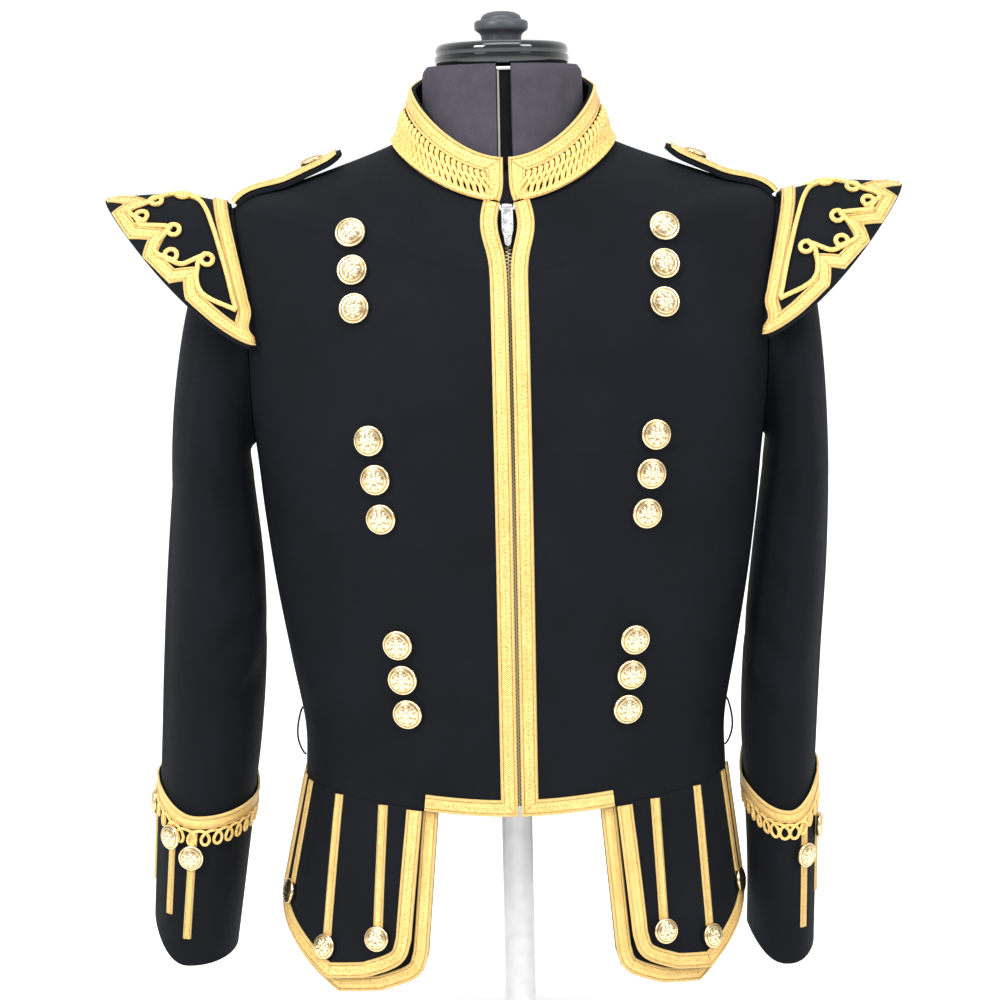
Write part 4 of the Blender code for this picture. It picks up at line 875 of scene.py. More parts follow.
def joined_mesh(name, meshes):
    """One mesh of several, which are used up."""
    work = bpy.data.collections.new("joining")
    bpy.context.scene.collection.children.link(work)
    parts = [bpy.data.objects.new(f"{name}_{k}", mesh) for k, mesh in enumerate(meshes)]
    for part in parts:
        work.objects.link(part)
    with bpy.context.temp_override(active_object=parts[0], object=parts[0],
                                   selected_editable_objects=parts, selected_objects=parts):
        bpy.ops.object.join()
    mesh = parts[0].data
    mesh.name = name
    bpy.data.objects.remove(parts[0])
    bpy.data.collections.remove(work)
    return mesh


def turned_mesh(name, profile, sides, sharp=40):
    """A shape turned about Z from an outline of radius and height, top to bottom."""
    profile = np.array(profile)
    turn = np.arange(sides) * 2 * math.pi / sides
    ring = profile[1:-1]
    points = np.stack([ring[:, :1] * np.cos(turn), ring[:, :1] * np.sin(turn),
                       np.broadcast_to(ring[:, 1:], (len(ring), sides))], axis=-1)
    quads = grid_quads(len(ring), sides, True)[:, ::-1]
    uv_quads = grid_quads(len(ring), sides + 1)[:, ::-1]
    far = lengths(ring[:, None], 0)
    uv = np.stack(np.broadcast_arrays(np.linspace(0, 1, sides + 1)[None], far), axis=-1)
    caps = (np.arange(sides), ((len(ring) - 1) * sides + np.arange(sides))[::-1])
    mesh = new_mesh(name, points.reshape(-1, 3), quads, uv.reshape(-1, 2), uv_quads, caps)
    mesh.set_sharp_from_angle(angle=math.radians(sharp))
    return mesh


# Materials


class Nodes:
    """A few short calls for building a material's nodes."""

    def __init__(self, name):
        self.material = bpy.data.materials.new(name)
        self.material.use_nodes = True
        self.tree = self.material.node_tree
        self.shader = self.tree.nodes["Principled BSDF"]

    def link(self, source, target):
        self.tree.links.new(source, target)

    def add(self, kind, **settings):
        node = self.tree.nodes.new(kind)
        for key, value in settings.items():
            setattr(node, key, value)
        return node

    def value_into(self, socket, value):
        if hasattr(value, "is_linked"):
            self.link(value, socket)
        else:
            socket.default_value = value

    def math(self, operation, *values):
        node = self.add("ShaderNodeMath", operation=operation)
        for socket, value in zip(node.inputs, values):
            self.value_into(socket, value)
        return node.outputs[0]

    def coordinates(self, output):
        return self.add("ShaderNodeTexCoord").outputs[output]

    def noise(self, vector, scale, detail=2.0, roughness=0.5):
        node = self.add("ShaderNodeTexNoise")
        self.link(vector, node.inputs["Vector"])
        node.inputs["Scale"].default_value = scale
        node.inputs["Detail"].default_value = detail
        node.inputs["Roughness"].default_value = roughness
        return node.outputs["Fac"]

    def ramp(self, factor, *stops):
        node = self.add("ShaderNodeValToRGB")
        elements = node.color_ramp.elements
        while len(elements) < len(stops):
            elements.new(0.5)
        for element, (place, colour) in zip(elements, stops):
            element.position = place
            element.color = (*colour, 1.0)
        self.link(factor, node.inputs["Fac"])
        return node.outputs["Color"]

    def waves(self, distance, pitch):
        return self.math("SINE", self.math("MULTIPLY", distance, 2 * math.pi / pitch))

    def range(self, value, low, high, new_low, new_high):
        node = self.add("ShaderNodeMapRange")
        for socket, number in zip(node.inputs, (value, low, high, new_low, new_high)):
            self.value_into(socket, number)
        return node.outputs["Result"]

    def bump(self, height, distance, strength=1.0):
        node = self.add("ShaderNodeBump")
        node.inputs["Strength"].default_value = strength
        node.inputs["Distance"].default_value = distance
        self.link(height, node.inputs["Height"])
        self.link(node.outputs["Normal"], self.shader.inputs["Normal"])

    def finish(self, colour, roughness, metallic=0.0, **others):
        self.link(colour, self.shader.inputs["Base Color"])
        self.value_into(self.shader.inputs["Roughness"], roughness)
        self.shader.inputs["Metallic"].default_value = metallic
        for key, value in others.items():
            self.shader.inputs[key.replace("_", " ")].default_value = value
        return self.material


def uv_parts(nodes):
    """The two parts of the UV: across and along, or turn and along."""
    split = nodes.add("ShaderNodeSeparateXYZ")
    nodes.link(nodes.coordinates("UV"), split.inputs[0])
    return split.outputs[0], split.outputs[1]


def wool():
    """Fine barathea: a twill of fine slanting ribs 0.7 mm apart over a soft mottle."""
    nodes = Nodes("black_barathea")
    across, along = uv_parts(nodes)
    slant = nodes.math("ADD", across, nodes.math("MULTIPLY", along, 0.8))
    rib = nodes.waves(slant, TWILL_PITCH)
    place = nodes.coordinates("Object")
    fuzz = nodes.noise(place, 1500.0, 3.0, 0.7)
    cloud = nodes.noise(place, 14.0, 3.0, 0.55)
    nap = nodes.noise(place, 260.0, 4.0, 0.65)
    tone = nodes.math("ADD", nodes.math("MULTIPLY", cloud, 0.55),
                      nodes.math("MULTIPLY", nap, 0.45))
    colour = nodes.ramp(tone, (0.30, WOOL_DARK), (0.70, WOOL_LIGHT))
    height = nodes.math("ADD", nodes.math("MULTIPLY", rib, 0.35), fuzz)
    nodes.bump(height, 0.00018, 0.55)
    return nodes.finish(colour, nodes.range(nap, 0.3, 0.7, 0.72, 0.88),
                        Specular_IOR_Level=0.12, Sheen_Weight=0.012, Sheen_Roughness=0.45,
                        Sheen_Tint=(0.62, 0.68, 0.80, 1.0))


def gold_lace():
    """Flat woven braid: chevrons of gold thread between two edge cords, and a line of small
    dots down the middle. The UV is the share across and the distance along."""
    nodes = Nodes("gold_lace")
    across, along = uv_parts(nodes)
    off = nodes.math("ABSOLUTE", nodes.math("SUBTRACT", across, 0.5))
    slope = nodes.math("MULTIPLY", off, CHEVRON_RISE)
    # The chevrons are the weave's own pattern; their troughs, the gaps between the strands, are
    # also darker in the colour as painted shade
    chevron = nodes.waves(nodes.math("ADD", along, slope), CHEVRON_PITCH)
    edge = nodes.range(off, 0.33, 0.37, 0.0, 1.0)
    # Painted shade: the groove just inside each edge cord, sunk in the bump below, is also darkened
    # in the colour
    seam = nodes.math("SUBTRACT", 1.0, nodes.range(
        nodes.math("ABSOLUTE", nodes.math("SUBTRACT", off, 0.315)), 0.010, 0.035, 0.0, 1.0))
    twist = nodes.waves(nodes.math("SUBTRACT", along, slope), EDGE_TWIST)
    dots = nodes.math("MULTIPLY", nodes.range(off, 0.012, 0.045, 1.0, 0.0),
                      nodes.range(nodes.waves(along, DOT_PITCH), 0.1, 0.6, 0.0, 1.0))
    place = nodes.coordinates("Object")
    mottle = nodes.noise(place, 520.0, 3.0, 0.6)
    cloud = nodes.noise(place, 40.0, 2.0, 0.5)
    inside = nodes.math("ADD", nodes.math("MULTIPLY", chevron, 0.22),
                        nodes.math("ADD", nodes.math("MULTIPLY", mottle, 0.75),
                                   nodes.math("MULTIPLY", cloud, 0.25)))
    rim = nodes.math("ADD", nodes.math("MULTIPLY", twist, 0.10),
                     nodes.math("ADD", nodes.math("MULTIPLY", mottle, 0.40), 0.42))
    tone = nodes.math("ADD", nodes.math("MULTIPLY", inside, nodes.math("SUBTRACT", 1.0, edge)),
                      nodes.math("MULTIPLY", rim, edge))
    # The grooves beside the edge cords get painted shade here; the dots below are the braid's own
    # pattern
    tone = nodes.math("SUBTRACT", tone, nodes.math("MULTIPLY", seam, 0.30))
    tone = nodes.math("SUBTRACT", tone, nodes.math("MULTIPLY", dots, 0.26))
    colour = nodes.ramp(tone, (0.12, GOLD_DEEP), (0.42, GOLD_MID), (0.78, GOLD_LIGHT))
    height = nodes.math("ADD", nodes.math("MULTIPLY", inside, nodes.math("SUBTRACT", 1.0, edge)),
                        nodes.math("MULTIPLY", nodes.math("MULTIPLY", twist, 0.5), edge))
    nodes.bump(nodes.math("SUBTRACT", height, seam), 0.00050, 1.0)
    return nodes.finish(colour, nodes.range(mottle, 0.3, 0.7, 0.36, 0.56), 0.10,
                        Specular_IOR_Level=0.45, Sheen_Weight=0.08, Sheen_Roughness=0.4)


def gold_cord():
    """Round cord of two twisted strands. The UV is the turn and the distance along."""
    nodes = Nodes("gold_cord")
    turn, along = uv_parts(nodes)
    wind = nodes.math("ADD", nodes.math("MULTIPLY", turn, 2.0),
                      nodes.math("DIVIDE", along, CORD_LAY))
    strand = nodes.math("SINE", nodes.math("MULTIPLY", wind, 2 * math.pi))
    place = nodes.coordinates("Object")
    mottle = nodes.noise(place, 700.0, 3.0, 0.6)
    # The grooves between the twisted strands come out a little darker in the colour, as painted
    # shade; the mottle is random tone
    tone = nodes.math("ADD", nodes.math("MULTIPLY", strand, 0.07), mottle)
    colour = nodes.ramp(tone, (0.22, GOLD_DEEP), (0.42, GOLD_MID), (0.72, GOLD_LIGHT))
    nodes.bump(nodes.math("ADD", nodes.math("MULTIPLY", strand, 0.5), mottle), 0.00025, 0.6)
    return nodes.finish(colour, nodes.range(mottle, 0.3, 0.7, 0.36, 0.52), 0.10,
                        Specular_IOR_Level=0.45)


def gilt():
    """Polished gilt: bright on the relief, dull in its hollows, and dark there with painted shade.
    """
    nodes = Nodes("gilt_button")
    relief = nodes.add("ShaderNodeAttribute", attribute_name="relief").outputs["Fac"]
    place = nodes.coordinates("Object")
    tarnish = nodes.noise(place, 420.0, 4.0, 0.6)
    # Low relief, the hollows, takes the dark gilt as painted shade; the tarnish noise adds random
    # tone
    tone = nodes.math("ADD", relief, nodes.math("MULTIPLY",
                      nodes.math("SUBTRACT", tarnish, 0.5), 0.5))
    colour = nodes.ramp(tone, (0.06, GILT_SHADE_AND_TARNISH), (0.34, GILT))
    nodes.bump(nodes.noise(place, 1600.0, 3.0, 0.6), 0.00010, 0.35)
    return nodes.finish(colour, nodes.range(tone, 0.1, 0.6, 0.30, 0.18), 1.0)


def metal(name, colour, low, high, scale=300.0):
    """Metal with fine scratches in its gloss."""
    nodes = Nodes(name)
    place = nodes.coordinates("Object")
    wear = nodes.noise(place, scale, 4.0, 0.6)
    shade = tuple(channel * 0.78 for channel in colour)
    nodes.bump(nodes.noise(place, 900.0, 2.0, 0.5), 0.00006, 0.25)
    return nodes.finish(nodes.ramp(wear, (0.30, shade), (0.65, colour)),
                        nodes.range(wear, 0.3, 0.7, low, high), 1.0)


def form_cloth():
    """Fine jersey: small knit ribs in the form's grey-violet cover."""
    nodes = Nodes("form_jersey")
    across, along = uv_parts(nodes)
    wale = nodes.waves(across, WALE_PITCH)
    course = nodes.waves(along, COURSE_PITCH)
    place = nodes.coordinates("Object")
    cloud = nodes.noise(place, 60.0, 4.0, 0.6)
    fuzz = nodes.noise(place, 900.0, 3.0, 0.7)
    tone = nodes.math("ADD", nodes.math("MULTIPLY", cloud, 0.6),
                      nodes.math("MULTIPLY", fuzz, 0.4))
    shade = tuple(channel * 0.74 for channel in FORM_GREY)
    light = tuple(channel * 1.16 for channel in FORM_GREY)
    nodes.bump(nodes.math("ADD", nodes.math("MULTIPLY", wale, course), fuzz), 0.00016, 0.5)
    return nodes.finish(nodes.ramp(tone, (0.32, shade), (0.66, light)), 0.82, 0.0,
                        Specular_IOR_Level=0.15, Sheen_Weight=0.03, Sheen_Roughness=0.4)


def plastic(name, colour, low, high, coat=0.0, gloss=0.5):
    """Moulded plastic with a faint unevenness and light rubbing."""
    nodes = Nodes(name)
    place = nodes.coordinates("Object")
    cloud = nodes.noise(place, 45.0, 3.0, 0.5)
    light = tuple(min(1.0, channel * 1.3 + 0.001) for channel in colour)
    nodes.bump(nodes.noise(place, 320.0, 2.0, 0.5), 0.00008, 0.25)
    return nodes.finish(nodes.ramp(cloud, (0.35, colour), (0.7, light)),
                        nodes.range(cloud, 0.3, 0.7, low, high), 0.0, Coat_Weight=coat,
                        Coat_Roughness=0.05, Specular_IOR_Level=gloss)


def woven_tape():
    """Closely woven black tape."""
    nodes = Nodes("zip_tape")
    place = nodes.coordinates("Object")
    weave = nodes.noise(place, 1100.0, 3.0, 0.6)
    lighter = tuple(channel * 2.0 for channel in TAPE)
    nodes.bump(weave, 0.00025, 0.8)
    return nodes.finish(nodes.ramp(weave, (0.35, TAPE), (0.7, lighter)), 0.85, 0.0,
                        Specular_IOR_Level=0.12)


WOOL = wool()
LACE = gold_lace()
CORD = gold_cord()
GILT_METAL = gilt()
NICKEL_METAL = metal("bright_nickel", NICKEL, 0.10, 0.24)
BRASS_METAL = metal("dull_brass", BRASS, 0.30, 0.45, 500.0)
JERSEY = form_cloth()
GLOSS_BLACK = plastic("gloss_black", BLACK_PLASTIC, 0.06, 0.12, 0.6)
SATIN_KNOB = plastic("satin_knob", KNOB_GREY, 0.38, 0.50)
DULL_BLACK = plastic("dull_black", SLIT_BLACK, 0.55, 0.7, 0.0, 0.08)
WHITE_METAL = plastic("white_paint", WHITE_PAINT, 0.30, 0.42)
PALE_PLASTIC = plastic("pale_plastic", PALE_STRIP, 0.30, 0.45)
WHITE_PLASTIC = plastic("white_plastic", WHITE_TAB, 0.25, 0.35)
BLACK_TAPE = woven_tape()


# The doublet


def fine(start, stop, count):
    return np.linspace(start, stop, count)


def cloth_piece(node, surface, p, q, thickness, lift=0.0, closed=False):
    """The wool wall that stands for a solid, named after it."""
    mesh = cloth_mesh(f"{node}_cloth", surface, p, q, thickness, lift, closed)
    return new_piece(f"{node}_cloth", mesh, WOOL, "wool", "doublet", node)


def lace_piece(node, mesh):
    """The flat gold braid that stands for a solid, named after it."""
    return new_piece(f"{node}_lace", mesh, LACE, "gold_braid", "doublet", node)


def buttons_piece(node, buttons):
    """The buttons on a trim's solid as one piece."""
    name = f"{node}_buttons"
    return new_piece(name, joined_mesh(name, buttons), GILT_METAL, "gilt", "doublet", node)


def make_fronts():
    """Each front runs from its edge at the zip to the side seam and the armhole."""
    rows = fine(0, NECK_ROW, 166)
    inner = front_edge(rows)
    outer = math.pi / 2 - armhole_cut(rows) - SEAM_ANGLE
    angle = inner[:, None] + (outer - inner)[:, None] * fine(0, 1, 80)
    for side in (-1, 1):
        piece = cloth_piece(f"front_{side_name(side)}", BODY, (side * angle)[:, ::side],
                            rows[:, None], CLOTH)


def make_back():
    rows = fine(0, NECK_ROW, 134)
    outer = math.pi / 2 - armhole_cut(rows) - SEAM_ANGLE
    angle = math.pi + outer[:, None] * fine(-1, 1, 131)
    piece = cloth_piece("back", BODY, angle, rows[:, None], CLOTH)


def collar_angles(count):
    start = COLLAR_HALF_GAP / COLLAR_RADIUS
    return fine(start, 2 * math.pi - start, count)


def make_collar():
    piece = cloth_piece("collar", COLLAR, collar_angles(161),
                        fine(0, COLLAR_TOP_ROW, 17)[:, None], COLLAR_CLOTH)


def make_sleeves():
    """A tube from the armhole to the cuff seam, and the cuff below it."""
    around = np.arange(96) * 2 * math.pi / 96
    rows = np.concatenate([fine(0.008, 0.98, 46), fine(1.0, 1.9965, 72)])[:, None]
    cuff_rows = fine(2.0, 3.0, 34)[:, None]
    for side in (-1, 1):
        where = side_name(side)
        piece = cloth_piece(f"sleeve_{where}", SLEEVES[side], around, rows, CLOTH, -SEAM_GAP,
                            True)
        piece = cloth_piece(f"cuff_{where}", SLEEVES[side], around, cuff_rows, CLOTH, CUFF_PROUD,
                            True)


def make_wings():
    around = np.radians(fine(WING_START, 180 - WING_START, 97))
    for side in (-1, 1):
        where = side_name(side)
        piece = cloth_piece(f"wing_{where}", WINGS[side], around, fine(0, 1, 33)[:, None],
                            WING_CLOTH)


def strap_angles(share_across, rows, half):
    """Angles on the body at which a strap of this half width lies, from front to back."""
    section = smooth_rows(BODY_ROWS, rows)
    y = share_across * half
    depth = np.where(y < 0, section[..., 4], section[..., 5])
    n = section[..., 6]
    x = section[..., 3] * (1 - np.minimum(np.abs(y) / depth, 0.98) ** n) ** (1 / n)
    return np.arctan2(x, -y)


def strap_share(rows):
    return np.clip((rows - STRAP_ROWS[0]) / (STRAP_ROWS[1] - STRAP_ROWS[0]), 0, 1)


def strap_lift(rows):
    """How far a strap stands off the shoulder: it rises towards the neck, over its button."""
    return STRAP_LIFT + (STRAP_END_LIFT - STRAP_LIFT) * strap_share(rows)**STRAP_LIFT_POWER


def strap_half_width(rows):
    """Half width of a strap: even, then rounded off at the neck end."""
    share = strap_share(rows)
    past = np.clip((share - STRAP_ROUND) / STRAP_ROUNDING, 0, 1)
    return STRAP_WIDTH / 2 * (1 - STRAP_TAPER * share) * np.sqrt(np.maximum(1 - past**2, 0))


def strap_rows(reach, ends):
    """Rows along a strap: even ones, then closer and closer ones over the given reach."""
    share = np.concatenate([fine(0, STRAP_FINE, 25),
                            STRAP_FINE + reach * np.sin(fine(0, math.pi / 2, ends))[1:]])
    return STRAP_ROWS[0] + (STRAP_ROWS[1] - STRAP_ROWS[0]) * share


def make_straps():
    """Padded straps: a crowned top over a flat underside."""
    across = np.sin(fine(-math.pi / 2, math.pi / 2, 23))[None, :]
    rows = strap_rows(0.22, 16)[:, None] + 0 * across
    angle = strap_angles(across, rows, strap_half_width(rows))
    crown = 0.62 + 0.38 * np.sqrt(np.maximum(1 - np.abs(across)**3, 0))
    for side in (-1, 1):
        name = f"strap_{side_name(side)}"
        top = BODY.at(side * angle, rows, strap_lift(rows) + STRAP_CLOTH * crown)
        low = BODY.at(side * angle, rows, strap_lift(rows))
        piece = new_piece(f"{name}_pad", shell_mesh(f"{name}_pad", top, low), WOOL, "wool",
                          "doublet", name)


def skirt_bottom(angle):
    """Drop of a skirt's lower edge at an angle, in degrees."""
    return np.interp(angle, *np.array(SKIRT_OUTLINE).T)


def skirt_columns(count=61):
    """Angles of a skirt's columns, with one at each corner of its outline."""
    corners = [angle for angle, _ in SKIRT_OUTLINE]
    return np.unique(np.concatenate([fine(corners[0], corners[-1], count), corners]))


def skirt_angles(columns, shift):
    span = columns[-1] - columns[0]
    return columns - shift * (columns[-1] - columns) / span


def make_skirts():
    """Front skirts in two layers and back skirts in one."""
    columns = skirt_columns()
    under = skirt_angles(columns, UNDER_SKIRT_SHIFT)
    low = skirt_bottom(columns)
    share = fine(0, 1, 45)[:, None]
    for (side, behind), surface in SKIRTS.items():
        where = side_name(side)
        piece = cloth_piece(f"skirt_{'back' if behind else 'front'}_{where}", surface,
                            np.radians(columns), low * share, CLOTH)
        if behind:
            continue
        piece = cloth_piece(f"under_skirt_{where}", surface, np.radians(under),
                            (low + UNDER_SKIRT_DROP) * share, CLOTH, UNDER_SKIRT_LIFT)


def skirt_edge(shift, extra):
    """Runs along a skirt's edge: down its inner side, along the foot, and up the far side.
    Corners are rounded where the outline is."""
    angle, low = np.array(SKIRT_OUTLINE).T
    angle = np.radians(skirt_angles(angle, shift))
    low = low + extra
    inner = np.stack([np.full(20, angle[0]), fine(SKIRT_TOP, low[0], 20)], axis=1)
    rounded = np.stack([angle[:4], low[:4]], axis=1)
    foot = np.stack([angle[3:5], low[3:5]], axis=1)
    far = np.stack([angle[4:], low[4:]], axis=1)
    side = np.stack([np.full(20, angle[-1]), fine(low[-1], SKIRT_TOP, 20)], axis=1)
    first = np.concatenate([inner[:-1], smooth_line(rounded, 24), smooth_line(foot, 8)[1:]])
    return [first, smooth_line(far, 24), side]


def button_mesh(name, radius, place, out):
    """A domed button with a rolled rim, a ring of beads and a rosette of petals.

    Its height over the cloth, by the share of the radius: a dome, a bead ring where the share
    is 0.74, a rolled rim at 0.93, and petals that swell between the middle and the beads."""
    sides, rings = 48, 26
    share = 1 - (1 - fine(0.0, 1.0, rings)[1:]) ** 1.15
    turn = np.arange(sides) * 2 * math.pi / sides
    s, t = share[:, None], turn[None, :]
    dome = np.sqrt(np.maximum(1 - (s * 0.93) ** 2.2, 0))
    petal = np.abs(np.cos(BUTTON_PETALS * t / 2)) ** 0.7
    swell = np.exp(-((s - 0.40) / 0.19) ** 2) * petal
    boss = np.exp(-(s / 0.15) ** 4)
    bead = np.exp(-((s - 0.74) / 0.050) ** 2) * (0.45 + 0.55 * np.abs(np.cos(BUTTON_BEADS * t / 2)))
    rim = 0.5 * np.exp(-((s - 0.94) / 0.045) ** 2)
    relief = np.clip(0.9 * swell + 0.9 * boss + 0.45 * bead + rim, 0, 1)
    height = radius * BUTTON_HEIGHT_SHARE * (0.26 + 0.66 * dome) + radius * 0.062 * relief
    base = np.array([[1.0, 0.22], [0.97, 0.06], [0.93, 0.0]]) * radius
    r = np.concatenate([np.broadcast_to(s, (rings - 1, sides)) * radius * 0.985,
                        np.broadcast_to(base[:, :1], (3, sides))])
    z = np.concatenate([height, np.broadcast_to(base[:, 1:], (3, sides))])
    points = np.stack([r * np.cos(t), r * np.sin(t), z], axis=-1).reshape(-1, 3)
    turned = np.array(Vector(out).to_track_quat("Z", "Y").to_matrix())
    points = points @ turned.T + np.array(place)
    count = rings + 2
    quads = grid_quads(count, sides, True)
    uv_quads = grid_quads(count, sides + 1)
    uv = np.stack(np.broadcast_arrays(fine(0, 1, sides + 1)[None], np.arange(count)[:, None]
                                      / count), axis=-1)
    caps = (np.arange(sides), ((count - 1) * sides + np.arange(sides))[::-1])
    mesh = new_mesh(name, points, quads, uv.reshape(-1, 2), uv_quads, caps)
    # The relief is stored for the gilt's colour, which darkens the hollows as painted shade; the
    # underside gets a middle value
    shade = np.concatenate([relief, np.full((3, sides), 0.35)]).ravel()
    mesh.attributes.new("relief", "FLOAT", "POINT").data.foreach_set(
        "value", shade.astype(np.float32))
    return mesh


def button_on(name, surface, p, q, lift, radius):
    """A button that stands on a surface, outwards."""
    p, q = np.array(float(p)), np.array(float(q))
    return button_mesh(name, radius, surface.at(p, q, lift), surface.normal(p, q))


def make_breast_buttons():
    for k, (reach, height) in enumerate(BREAST_BUTTONS):
        angle, row = front_point(reach, height)
        for side in (-1, 1):
            name = f"button_{side_name(side)}_{k // 3 + 1}{'abc'[k % 3]}"
            mesh = button_on(f"{name}_gilt", BODY, side * angle[0], row[0], BUTTON_LIFT,
                             BIG_BUTTON_RADIUS)
            new_piece(f"{name}_gilt", mesh, GILT_METAL, "gilt", "doublet", name)


# Braid


def make_front_braids():
    """Braid down each front edge and along the hem to the first skirt."""
    rows = fine(11.0, 0.0, 200)
    edge = front_edge(rows)
    reach = fine(ZIP_HALF_GAP, HEM_BRAID_REACH, 30)
    hem = angle_at_reach(reach, np.zeros(30))
    hem[0] = edge[-1]
    for side in (-1, 1):
        name = f"front_braid_{side_name(side)}"
        runs = [np.stack([side * edge, rows], axis=1), np.stack([side * hem, 0 * hem], axis=1)]
        left, right = BRAID_WIDTH - BRAID_PROUD, BRAID_PROUD
        if side < 0:
            left, right = right, left
        lace_piece(name, ribbon_mesh(f"{name}_lace", BODY, runs, left, right, TRIM_LIFT))


def make_collar_braid():
    stops = collar_angles(150)
    rows = fine(0.02, COLLAR_TOP_ROW, 40)
    parted = stops[0] + COLLAR_PART * np.clip(1 - rows / 1.5, 0, 1) ** 2
    up = np.stack([parted, rows], axis=1)
    top = np.stack([stops, np.full(150, COLLAR_TOP_ROW)], axis=1)
    down = np.stack([2 * math.pi - parted, rows], axis=1)[::-1]
    mesh = ribbon_mesh("collar_lace", COLLAR, [up, top, down], 0.0, BRAID_WIDTH, TRIM_LIFT)
    new_piece("collar_lace", mesh, LACE, "gold_braid", "doublet", "collar_braid")


def make_collar_fret():
    """Interlaced cord over a thin straight one. On each half of the collar one line makes tall
    leaning loops side by side, each crossing its neighbours: it goes steadily round, swings to
    and fro as the sum of two sines, rises and falls as a cosine, and lies over and under."""
    start = (COLLAR_HALF_GAP + BRAID_WIDTH - FRET_START) / FRET_RADIUS
    span = 2 * math.pi - 2 * start
    girth = run_length(COLLAR, np.stack([fine(start, 2 * math.pi - start, 200),
                                         np.full(200, 1.0)], axis=1))[-1]
    loops = round(girth / FRET_PITCH)
    turn = fine(0, loops / 2 - 0.5, int(loops * 22)) * 2 * math.pi
    rise = (1 - np.cos(turn)) / 2
    swing = (FRET_SWING[0] * FRET_PITCH * np.sin(2 * turn)
             + FRET_SWING[1] * FRET_PITCH * np.sin(turn))
    lean = FRET_LEAN * (rise - 0.5)
    angle = start + turn / (math.pi * loops) * span / 2
    row = FRET_LOW + (FRET_HIGH - FRET_LOW) * rise
    lift = TRIM_LIFT + FRET_CORD + FRET_OVER + FRET_OVER * np.cos(3 * turn)
    meshes = []
    for half in (1, -1):
        p = angle if half > 0 else 2 * math.pi - angle
        p, q = moved(COLLAR, p, row, half * (swing + lean), 0.0)
        meshes.append(cord_mesh(f"collar_fret_{half}", COLLAR.at(p, q, lift),
                                COLLAR.normal(p, q), FRET_CORD, 6))
    ends = fine(start - FRET_FOOT_REACH, 2 * math.pi - start + FRET_FOOT_REACH, 260)
    foot = np.stack([ends, np.full(260, FRET_FOOT)], axis=1)
    meshes.append(cord_on("collar_fret_foot", COLLAR, foot, FRET_FOOT_CORD, TRIM_LIFT, 6))
    new_piece("collar_fret_cord", joined_mesh("collar_fret_cord", meshes), CORD, "gold_braid",
              "doublet", "collar_fret")


def whole_wing(line):
    """A line on half a wing, and the same line on its other half, as angles and shares."""
    line = np.array(line, float)
    other = line[::-1] * (-1, 1) + (180, 0)
    both = np.concatenate([line, other[1:] if line[-1, 0] == 90 else other])
    both[:, 0] = np.radians(both[:, 0])
    return both


def make_wing_braids():
    """One closed braid: up the inner edge and back down the zigzag."""
    seam = whole_wing(WING_SEAM_LINE)
    zigzag = whole_wing(WING_ZIGZAG)[::-1]
    zigzag = np.delete(zigzag, len(WING_ZIGZAG) - 1, axis=0)
    corners = np.concatenate([seam[-1:], zigzag, seam[:1]])
    for side in (-1, 1):
        runs = [smooth_line(seam, 120)] + straight(*corners)
        name = f"wing_braid_{side_name(side)}"
        mesh = ribbon_mesh(f"{name}_lace", WINGS[side], runs, WING_BRAID / 2, WING_BRAID / 2,
                           TRIM_LIFT, closed=True, step=0.002)
        lace_piece(name, mesh)
        curls = [wing_cord(side, back) for back in (False, True)]
        mesh = joined_mesh(f"wing_curls_{side_name(side)}", curls)
        new_piece(f"wing_curls_{side_name(side)}", mesh, CORD, "gold_braid", "doublet", name)


def wing_cord(side, back):
    """The thin cord on half a wing, with a full turn at each inner point of the zigzag."""
    surface = WINGS[side]
    points = []
    for (angle, share), curl in WING_CORD:
        around = math.radians(180 - angle if back else angle)
        if curl is None:
            points.append([around, share])
            continue
        turn = np.radians(curl[0] + curl[1] * fine(0, 1, 11))
        x = np.cos(turn) * CURL_RADIUS * (1 if back else -1)
        y = np.sin(turn) * CURL_RADIUS
        p, q = moved(surface, np.full(11, around), np.full(11, share), x, -y)
        points += list(np.stack([p, q], axis=1))
    line = smooth_line(points, 460)
    return cord_on(f"wing_cord_{side}_{back}", surface, line, CORD_RADIUS, TRIM_LIFT, 7)


def cuff_row(side, around, drop):
    """Row of the sleeve surface that lies this far below the cuff seam."""
    seam = ring_heights(CUFF_SEAM[side], around)
    edge = ring_heights(CUFF_EDGE[side], around)
    return 2 + drop / (seam - edge)


